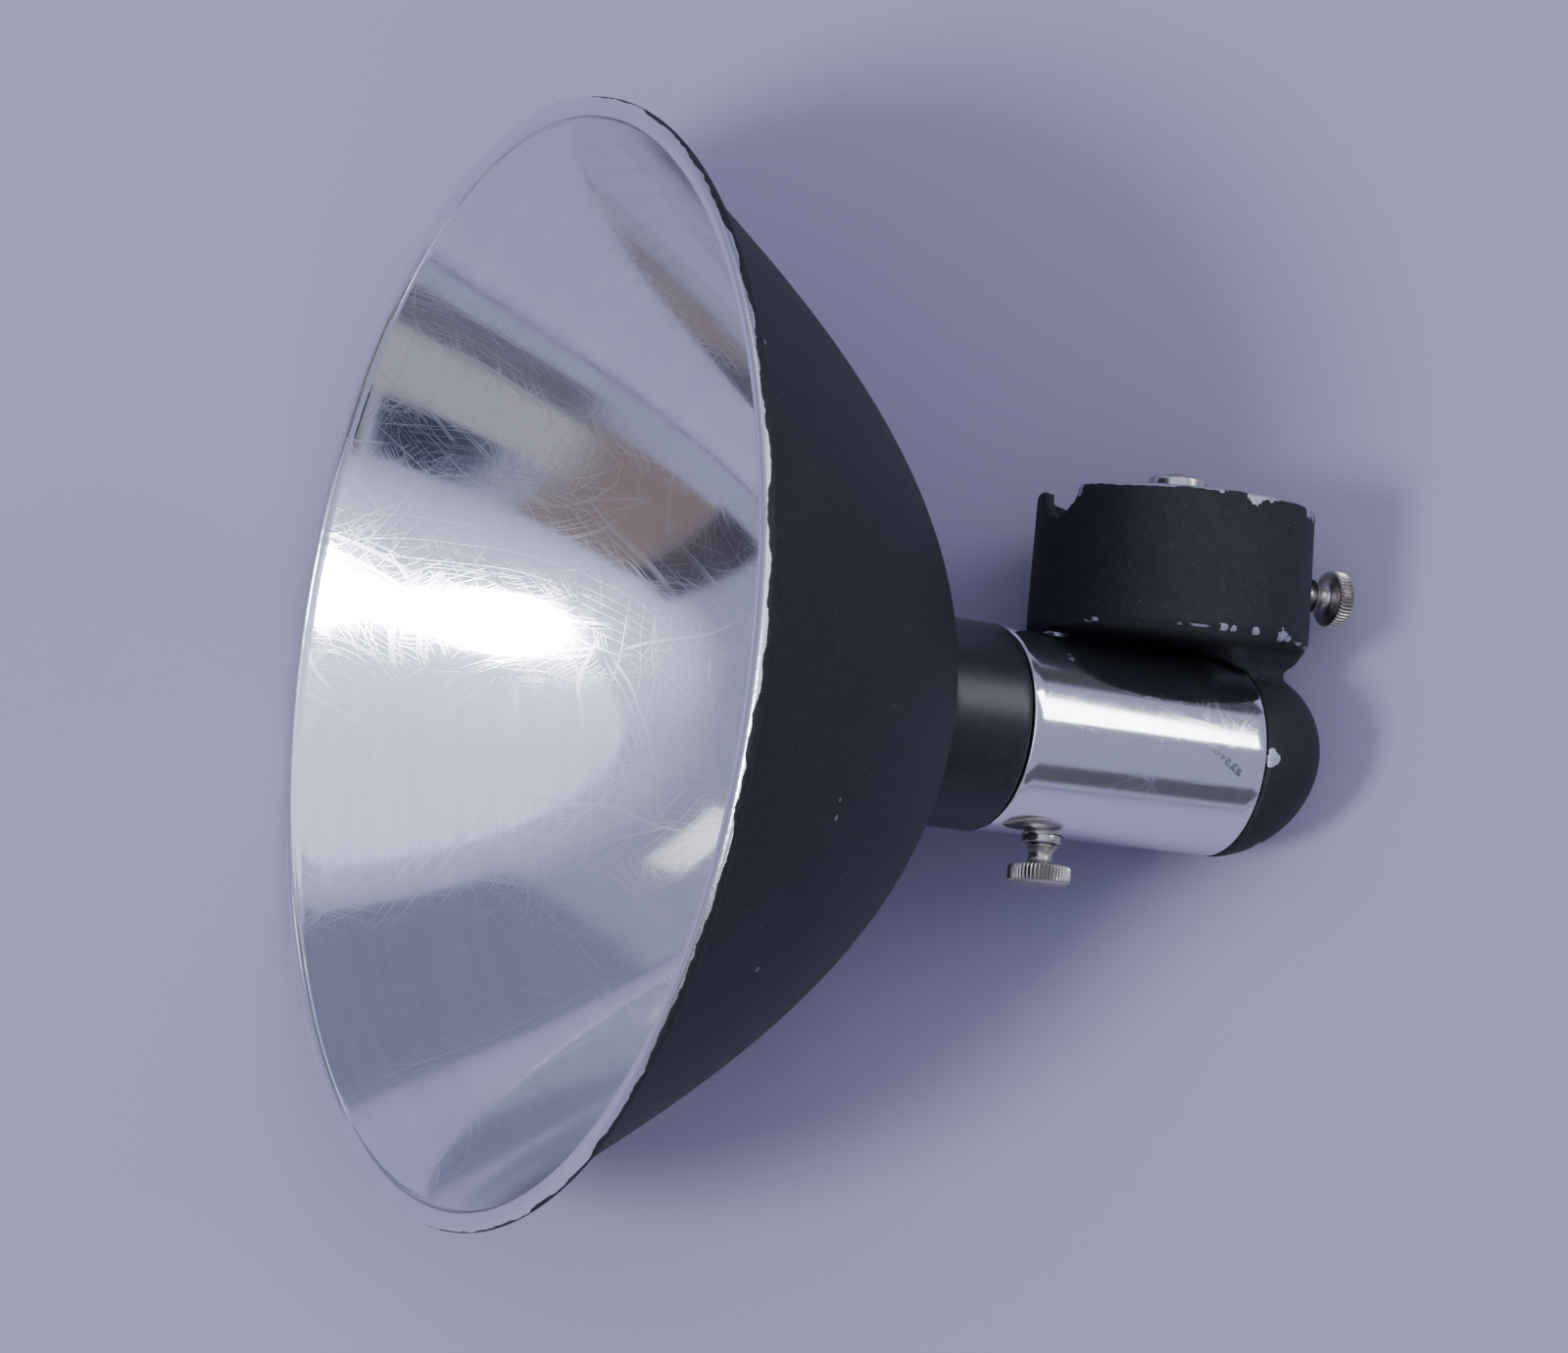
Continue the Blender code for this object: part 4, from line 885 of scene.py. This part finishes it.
def makeHousing():
    rear, cap = headLay["barrelRear"], casting["capRadius"]
    dome = quarter(rear, cap, 40)[:-1] + [(capRear, cap - 0.05), (capRear, casting["spigot"]),
                                          (spigotFront, casting["spigot"], 0.4), (spigotFront, 0)]
    dome[0] = (dome[0][0], 0)
    hollow = quarter(rear, cap - casting["capWall"], 24, 85)
    hollow[0] = (hollow[0][0], 0)
    hollow += [(rear + 1.0, casting["spigotBore"]), (spigotFront + 2, casting["spigotBore"]),
               (spigotFront + 2, 0)]
    big = casting["collarRadius"]
    cup = [(collarTop, 0), (collarTop, big + casting["collarDraft"], casting["edgeRound"]),
           (collarRim, big, 0.35), (collarRim, 0)]
    bore = casting["collarBore"]
    inside = [(ceilingZ, 0), (ceilingZ, bore, 0.8), (collarRim - 3, bore), (collarRim - 3, 0)]
    half = casting["armHalf"]
    foot = bar((-20.6, -half - 1.5, collarTop - 5), (rear + 4, half + 1.5, -15.3), 2.5, 5)
    web = bar((rear - 7.4, -half, collarTop - 1), (rear + 3, half, -6.0), 2.6, 6, upright)
    barrelRoom = rod(16.5, capRear, rear + 23, alongX, 160)
    arm = joined(foot, [("UNION", web), ("DIFFERENCE", barrelRoom)])
    notch = moved(rod(casting["notchRadius"], 10, 30, alongX, 96),
                  shift(0, 0, collarRim + casting["notchDepth"] - casting["notchRadius"]))
    notch = moved(notch, spinBy(casting["notchTurn"], "Z"))
    duct = moved(rod(casting["ductRadius"], ceilingZ - 1, -8.0), shift(casting["ductX"]))
    tools = [("UNION", arm), ("UNION", moved(turned(cup, 200, 8), alongZ)),
             ("DIFFERENCE", leaned(turned(hollow, 96))), ("DIFFERENCE", moved(turned(inside, 200), alongZ)),
             ("DIFFERENCE", notch), ("DIFFERENCE", duct)]
    for a in casting["bossAngles"]:
        boss = rod(casting["bossRadius"], discTop + 0.3, ceilingZ + 0.5)
        tools.append(("UNION", moved(boss, onBossRing(a))))
        hole = rod(screwHole, discTop - 0.7, ceilingZ - 0.5, steps=32)
        tools.append(("DIFFERENCE", moved(hole, onBossRing(a))))
    tools += [("DIFFERENCE", fixHole(screwHole, a, 32)) for a in barrel["fixAngles"]]
    tools.append(("DIFFERENCE", moved(rod(casting["clampHole"], -30, -18, alongX), shift(0, 0, clampZ))))

    def corner(p):  # fillets: arm into the collar, web into the dome
        nearArm = p.x < -5 and abs(p.y) < half + 5
        return nearArm and (-20.5 < p.z < -13 or (p.z > -14 and hypot(p.y, p.z) > 13.5 and p.z < -3))

    bm = cast(joined(leaned(turned(dome, 160)), tools), casting["grain"], casting["soften"], corner,
              casting["cornerSoften"])
    enamel = makeWrinkleEnamel(collarRim, casting["collarRadius"], collarTop)
    addPiece("rearHousing", bm, enamel, sharp=70)


makeHousing()
print("casting made")


# ---- pin, bush, pads and thumb screws
thumb = {"teeth": 48, "toothDepth": 0.30, "rowsOfTeeth": 4, "sharp": 44}
atScrew = shift(screwX) @ alongZ
atClamp = shift(0, 0, clampZ) @ alongBack


def makeThumbScrew(name, matrix, tip, tipRadius, shank, flange, waist, top, head, height):
    count = thumb["rowsOfTeeth"]
    rows = [(top + 0.45 + (height - 0.9) * i / count, head) for i in range(1, count)]
    outline = [(tip, 0), (tip, tipRadius, 0.2), (tip + 0.3, shank), (flange, shank),
               (flange, waist + 1.1, 0.25), (flange + 0.5, waist + 0.35, 0.25), (flange + 1.2, waist, 0.3),
               (top - 1.0, waist, 0.3),
               (top - 0.35, waist + 0.35, 0.25), (top, waist + 1.3, 0.15), (top + 0.08, head - 0.72),
               (top + 0.16, head - 0.42), (top + 0.40, head - 0.04)]
    outline += rows + [(top + height - 0.40, head - 0.04), (top + height - 0.16, head - 0.42),
                       (top + height - 0.02, head - 0.75), (top + height + 0.10, head * 0.80),
                       (top + height + 0.22, head * 0.5), (top + height + 0.29, head * 0.22),
                       (top + height + 0.3, 0)]
    bm = knurl(turned(outline, thumb["teeth"] * 8, 3), thumb["teeth"], thumb["toothDepth"], top + 0.02,
               top + height + 0.02, head)
    addPiece(name, bm, nickelKnurled, matrix, thumb["sharp"])


def makeScrews():
    pin = headBox("guide_pin")
    under, tip = -(barrelRadius(screwX) + 0.3), pin[1].z
    outline = [(tip, 0), (tip, 1.4, 0.3), (under, 1.4), (under, 2.3, 0.12), (under - 0.42, 2.05, 0.3),
               (under - 0.6, 0)]
    addPiece("guidePin", turned(outline, 64), plainSteel, atScrew)
    base, topZ = bushHigh.z - 1.45, bushHigh.z
    outline = [(bushLow.z, 2.05), (bushLow.z, 2.75, 0.15), (base, 2.75), (base, 3.25, 0.12),
               (topZ, 3.25, 0.5), (topZ, 2.05, 0.1)]
    addPiece("barrelScrewBush", turned(outline, 96), nickelPlate, atScrew)
    pad = headBox("barrel_pressure_pad")
    outline = [(pad[0].z, 0), (pad[0].z, 1.75, 0.12), (pad[1].z, 1.75, 0.12), (pad[1].z, 0)]
    addPiece("barrelPressurePad", turned(outline, 64), turnedBrass, atScrew)
    outline = [(19.4, 0), (19.4, 2.2, 0.3), (20.7, 2.2, 0.1), (20.7, 0)]
    addPiece("collarPressurePad", turned(outline, 64), turnedBrass, atClamp)
    makeThumbScrew("barrelThumbScrew", atScrew, tip=pad[1].z + 0.15, tipRadius=1.3, shank=1.75,
                   flange=topZ + 0.3, waist=1.95, top=topZ + 3.3, head=5.15, height=3.2)
    makeThumbScrew("collarThumbScrew", atClamp, tip=21.0, tipRadius=1.4, shank=1.8, flange=27.05,
                   waist=1.85, top=30.15, head=4.9, height=3.0)


makeScrews()


def slotted(outline, steps, slotLow, slotHalf, matrix):
    slot = bar((slotLow, -slotHalf, -4), (slotLow + 4, slotHalf, 4))
    return moved(cutBy(turned(outline, steps), slot), matrix)


smallScrews = {"fixSeat": 16.35, "fixSlot": 0.22, "discSeat": 27.3, "discSlot": 0.25, "setSlot": 0.2}


def makeSmallScrews():
    head = smallScrews["fixSeat"]
    for i, a in enumerate(barrel["fixAngles"]):
        outline = [(12.4, 0), (12.4, 1.05, 0.25), (head, 1.05), (head, 2.0, 0.1), (head + 0.55, 1.92),
                   (head + 0.86, 1.5), (head + 1.0, 0.8), (head + 1.05, 0)]
        place = shift(fixX) @ spinBy(-a, "X") @ alongZ
        screw = slotted(outline, 64, head + 0.6, smallScrews["fixSlot"], place)
        addPiece("barrelFixingScrew" + str(i + 1), screw, plainSteel)
    seat = smallScrews["discSeat"]
    for i, a in enumerate(casting["bossAngles"]):
        outline = [(21.5, 0), (21.5, 1.05, 0.25), (seat, 1.05), (seat, 2.3, 0.1), (seat + 0.9, 2.2, 0.3),
                   (seat + 1.3, 1.4), (seat + 1.35, 0)]
        turnedDown = spinBy(40 + 70 * i, "Z") @ spinBy(180, "X") @ alongZ
        place = spinBy(a, "Z") @ shift(casting["bossRing"]) @ turnedDown
        screw = slotted(outline, 64, seat + 0.8, smallScrews["discSlot"], place)
        addPiece("discScrew" + str(i + 1), screw, plainSteel)


makeSmallScrews()
print("screws made")


# ---- the bayonet lamp socket inside the barrel
socket = {"bore": 7.75, "wall": 0.65, "holderOuter": 10.9, "entryHalf": 1.2}


def makeSocket():
    low, high = headBox("socket_holder")
    bore, outer = socket["bore"] + socket["wall"] + 0.3, socket["holderOuter"]
    outline = [(low.x, bore, 0.15), (low.x, 14.2, 0.2), (low.x + 2, 14.2, 0.2), (low.x + 2, outer + 1, 0.3),
               (low.x + 3, outer, 0.4), (high.x, outer, 0.6), (high.x, bore, 0.2)]
    hole = rod(1.45, bore - 4, outer + 3, spinBy(90, "Z"), 40)
    setX = middle("socket_set_screw").x
    addPiece("socketHolder", cutBy(turned(outline, 128), moved(hole, shift(setX))),
             phenolic)
    grub = [(8.6, 0), (8.6, 1.15, 0.35), (outer - 0.3, 1.15, 0.1), (outer - 0.3, 0)]
    place = shift(setX) @ spinBy(90, "Z")
    screw = slotted(grub, 48, outer - 1.0, smallScrews["setSlot"], place)
    addPiece("socketSetScrew", screw, plainSteel)
    low, high = headBox("socket_shell")
    inner, skin, half = socket["bore"], socket["bore"] + socket["wall"], socket["entryHalf"]
    outline = [(low.x, inner, 0.1), (low.x, skin, 0.1), (high.x - 1.2, skin),
               (high.x - 0.5, skin + 0.33, 0.2), (high.x, skin + 0.3, 0.25), (high.x, inner + 0.3, 0.2),
               (high.x - 0.6, inner, 0.2)]
    cutters = []
    for turn in (0, 180):
        entry = bar((high.x - 6.8, 6, -half), (high.x + 1.5, 11, half))
        across = bar((high.x - 9.0, 5.5, -half), (high.x - 6.6, 11.1, 4.4))
        catch = bar((high.x - 9.0, 5.4, 2.2), (high.x - 5.8, 11.2, 4.5))
        cutter = joined(entry, [("UNION", across), ("UNION", catch)])
        cutters.append(moved(cutter, spinBy(turn, "X")))
    addPiece("socketShell", cutBy(turned(outline, 144), *cutters), nickelPlate)
    low, high = headBox("socket_insulator")
    outline = [(low.x, 1.85, 0.1), (low.x, inner - 0.3, 0.2), (high.x, inner - 0.3, 0.4), (high.x, 3.2, 0.25),
               (low.x + 2, 3.2, 0.2), (low.x + 2, 1.85)]
    addPiece("socketInsulator", turned(outline, 96), phenolic)
    rear, tip = headBox("centre_contact")[0].x, headBox("centre_contact")[1].x
    outline = [(rear, 0), (rear, 2.1, 0.4), (low.x - 0.3, 2.1, 0.1), (low.x - 0.3, 1.5), (tip - 1.9, 1.5),
               (tip - 1.9, 2.8, 0.15), (tip - 1.0, 2.8, 0.3), (tip - 0.35, 2.1, 0.5), (tip - 0.08, 1.0),
               (tip, 0)]
    addPiece("centreContact", turned(outline, 80), turnedBrass)
    back, face = low.x - 0.9, low.x - 0.3
    ring = [(back, 2.6, 0.08), (back, 5.4, 0.08), (face, 5.4, 0.08), (face, 2.6, 0.08)]
    tab = bar((back, 4.0, -1.1), (face, 6.9, 1.1), 0.25, 3,
              lambda e: abs(e.verts[0].co.x - e.verts[1].co.x) > 0.3)
    addPiece("centreTerminal", joined(turned(ring, 96), [("UNION", tab)]), turnedBrass)


makeSocket()

spring = {"radius": 2.35, "wire": 0.28, "turns": 5, "keep": 0.66}


def makeSpring():
    low, high = headBox("contact_spring")
    first, last = low.x + spring["wire"], high.x - spring["wire"]
    count = spring["turns"] * 16
    points = []
    for i in range(count + 1):
        share = i / count
        a = 2 * pi * spring["turns"] * share
        points.append((first + (last - first) * share, spring["radius"] * cos(a), spring["radius"] * sin(a)))
    coil = wire("springWire", points, spring["wire"], 3, 2)
    made = addPiece("contactSpring", coil, springSteel, sharp=60)
    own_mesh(made)


makeSpring()


# ---- the plug inside the collar, with its disc
plug = {"discRadius": 20.7, "radius": 4.9, "wall": 0.9, "flange": 7.6, "stem": 3.7, "landInner": 8.2,
        "landOuter": 11.3, "pinHead": 1.9, "core": 2.2}


def makePlug():
    low, high = headBox("plug_disc")
    face, land = high.z - 2.4, low.z
    hole = plug["stem"] + 0.3
    edge, landIn, landOut = plug["discRadius"], plug["landInner"], plug["landOuter"]
    outline = [(high.z, hole, 0.1), (high.z, edge, 0.3), (face, edge, 0.3), (face, landOut),
               (land, landOut - 0.2, 0.2), (land, landIn + 0.2, 0.2), (face, landIn), (face, hole, 0.1)]
    holes = [moved(rod(screwHole, face - 1, high.z + 2, steps=32), onBossRing(a))
             for a in casting["bossAngles"]]
    addPiece("plugDisc", cutBy(moved(turned(outline, 160), alongZ), *holes), phenolic)
    flangeZ, tube, bore, core = face - 0.3, plug["radius"], plug["radius"] - plug["wall"], plug["core"]
    flange = plug["flange"]
    outline = [(ceilingZ - 1.6, core + 0.3), (ceilingZ - 1.6, plug["stem"], 0.15), (flangeZ, plug["stem"]),
               (flangeZ, flange, 0.1), (flangeZ - 1.4, flange, 0.4), (flangeZ - 1.4, tube + 0.3, 0.15),
               (flangeZ - 1.7, tube)]
    outline += [(flangeZ - 1.7 + (plugEnd + 1.2 - flangeZ + 1.7) * i / 6, tube) for i in range(1, 7)]
    outline += [(plugEnd, tube, 0.85), (plugEnd + 0.25, bore, 0.1), (flangeZ - 1.8, bore),
                (flangeZ - 1.8, core + 0.3)]
    addPiece("plugShell", turned(outline, 144, 8), nickelPlate, alongZ)
    recess, pinHead = plugEnd + 1.5, plug["pinHead"]
    outline = [(ceilingZ - 1.3, 1.3), (ceilingZ - 1.3, core), (flangeZ - 2.1, core),
               (flangeZ - 2.1, bore - 0.3), (plugEnd + 1.0, bore - 0.3, 0.2),
               (plugEnd + 1.0, pinHead + 0.3, 0.12), (recess, pinHead + 0.3), (recess, 1.3)]
    addPiece("plugInsulator", turned(outline, 96), phenolic, alongZ)
    outline = [(ceilingZ - 0.9, 0), (ceilingZ - 0.9, 1.0, 0.2), (recess - 0.3, 1.0),
               (recess - 0.3, pinHead, 0.1), (plugEnd + 0.1, pinHead, 0.2), (plugEnd - 0.45, 1.35, 0.3),
               (plugEnd - 0.7, 0)]
    addPiece("plugPin", turned(outline, 64), turnedBrass, alongZ)
    nut = headBox("plug_nut")
    blank = rod(6.0, nut[0].z, nut[1].z, steps=6)
    roundEdges(blank, blank.edges[:], 0.18)
    nutBody = cutBy(blank, rod(hole, nut[0].z - 2, nut[1].z + 2, steps=80))
    addPiece("plugNut", nutBody, turnedBrass)


makePlug()

leads = {"radius": 0.7,
         "centre": [(16.6, 5.9, 0), (13, 6.2, -1), (4, 6, -2), (-4, 5, -2), (-11, 2.6, -4),
                    (-14.6, 1.25, -10), (-14.6, 1.25, -15), (-14.6, 1.25, -19.6), (-13, 1.9, -22),
                    (-9, 2.6, -22.4), (-7, 2.4, -21.6), (-4.2, 1.8, -21.3), (-2.3, 1, -21.2)],
         "shell": [(16.9, -7.6, 0), (13, -7, -1), (4, -6.4, -2), (-4, -5, -2), (-11, -2.6, -4),
                   (-14.6, -1.25, -10), (-14.6, -1.25, -15), (-14.6, -1.25, -19.6), (-13, -2.2, -22),
                   (-10, -3.2, -22.6), (-7.4, -3.4, -23.2)]}
leadRed = makeLead("leadRed", (0.30, 0.028, 0.024), (0.18, 0.022, 0.020))
leadBlack = makeLead("leadBlack", (0.018, 0.018, 0.019), (0.040, 0.038, 0.036))
for name, path, material, slot in (("leadCentre", "centre", leadRed, "lead_red"),
                                   ("leadShell", "shell", leadBlack, "lead_black")):
    addPiece(name, wire(name, leads[path], leads["radius"]), material, sharp=60)
print("socket, plug and leads made")


# ---- floor, light and camera
stage = {"floorSize": 7.0, "floorColor": (0.325, 0.298, 0.402), "middle": (0.0, 0.0, 0.07)}
lights = [  # direction round and up in degrees, distance, size across and up, power, colour
    {"name": "keySoft", "round": -151.5, "up": 58.2, "away": 1.3, "size": (0.29, 0.20), "roll": -55,
     "power": 12.0, "color": (0.90, 0.92, 1.0), "shape": "ELLIPSE"},
    {"name": "lowBand", "round": 20, "up": 27, "away": 1.3, "size": (0.62, 0.20), "power": 4.5,
     "color": (0.90, 0.92, 1.0), "shape": "RECTANGLE"},
    {"name": "topFill", "round": 100, "up": 84, "away": 1.6, "size": (2.2, 2.2), "power": 7.8,
     "color": (0.80, 0.84, 1.08), "shape": "ELLIPSE"}]


def direction(around, up):
    around, up = radians(around), radians(up)
    return Vector((cos(up) * cos(around), cos(up) * sin(around), sin(up)))


def makeStage():
    bm = bmesh.new()
    bmesh.ops.create_grid(bm, x_segments=2, y_segments=2, size=stage["floorSize"] / 2)
    mesh = bpy.data.meshes.new("floor")
    bm.to_mesh(mesh)
    bm.free()
    floor = bpy.data.objects.new("floor", mesh)
    scene.collection.objects.link(floor)
    material = bpy.data.materials.new("paleFloor")
    material.use_nodes = True
    shader = material.node_tree.nodes["Principled BSDF"]
    setShader(material.node_tree, shader, color=stage["floorColor"], rough=0.9, specular=0.2)
    mesh.materials.append(material)
    for entry in lights:
        data = bpy.data.lights.new(entry["name"], "AREA")
        data.shape = entry["shape"]
        data.size, data.size_y = entry["size"]
        data.energy = entry["power"]
        data.color = entry["color"]
        made = bpy.data.objects.new(entry["name"], data)
        way = direction(entry["round"], entry["up"])
        made.location = Vector(stage["middle"]) + way * entry["away"]
        made.rotation_euler = (way.to_track_quat("Z", "Y").to_matrix()
                               @ Matrix.Rotation(radians(entry.get("roll", 0)), 3, "Z")).to_euler()
        scene.collection.objects.link(made)


# what the world shows above and below, to the camera, and round the key light
surround = {"high": (0.54, 0.57, 0.83), "low": (0.34, 0.355, 0.52), "plain": (0.47, 0.46, 0.56),
            "glow": {"round": -153, "up": 59, "half": 15, "soft": 13, "color": (0.78, 0.84, 1.22)}}
# soft-edged panels that the bright metal mirrors: from and to in degrees round and up, softness, colour
cards = [
    ((-142, -128), (11, 40), 0.8, (0.23, 0.18, 0.185)),
    ((-151, -142), (9, 39), 1.0, (0.06, 0.055, 0.08)),
    ((-128.5, -112), (14, 28), 0.6, (0.42, 0.42, 0.50)),
    ((-128.5, -112), (5, 14), 0.6, (0.14, 0.14, 0.19)),
    ((-124.5, -112), (28, 40), 0.5, (0.02, 0.03, 0.065)),
    ((90, 120), (-5, 43), 0.8, (0.20, 0.215, 0.35)),
    ((131, 146), (22, 31.5), 0.5, (1.5, 1.5, 1.7)),
    ((-62, -36), (4, 17), 1.0, (0.10, 0.10, 0.13)),
    ((38, 62), (0, 14), 1.5, (0.07, 0.07, 0.09))]


def makeSurround():
    world = bpy.data.worlds.new("surround")
    scene.world = world
    world.use_nodes = True
    tree = world.node_tree
    back = tree.nodes["Background"]
    way = put(tree, "TexCoord").outputs["Generated"]
    apart = put(tree, "SeparateXYZ", {"Vector": way}).outputs
    up = times(tree, calc(tree, "ARCSINE", apart[2]), 180 / pi)
    around = times(tree, calc(tree, "ARCTAN2", apart[1], apart[0]), 180 / pi)
    color = mixColor(tree, ramp(tree, up, 36, 50), surround["low"], surround["high"])
    glow = surround["glow"]
    near = put(tree, "VectorMath", {0: way, 1: direction(glow["round"], glow["up"])},
               operation="DOT_PRODUCT").outputs["Value"]
    outer, inner = (cos(radians(glow["half"] + side * glow["soft"])) for side in (1, -1))
    inside = ramp(tree, near, outer, inner)
    color = mixColor(tree, inside, color, glow["color"])
    for roundEnds, upEnds, soft, cardColor in cards:
        inside = 1.0
        for angle, (first, last) in ((around, roundEnds), (up, upEnds)):
            inside = times(tree, ramp(tree, angle, first - soft, first + soft), inside)
            inside = times(tree, ramp(tree, angle, last + soft, last - soft), inside)
        color = mixColor(tree, inside, color, cardColor)
    path = put(tree, "LightPath")
    color = mixColor(tree, path.outputs["Is Camera Ray"], color, surround["plain"])
    tree.links.new(color, back.inputs["Color"])
    back.inputs["Strength"].default_value = 1.0


def makeCamera():
    data = bpy.data.cameras.new("camera")
    data.lens = 135.0
    data.sensor_width = 36.0
    data.clip_start = 0.01
    made = bpy.data.objects.new("camera", data)
    made.location = (0.018221, -0.191880, 0.972952)
    made.rotation_euler = Euler([radians(a) for a in (11.963, 1.3526, 0.2879)])
    scene.collection.objects.link(made)
    scene.camera = made


makeStage()
makeSurround()
makeCamera()
print("stage, light and camera set")
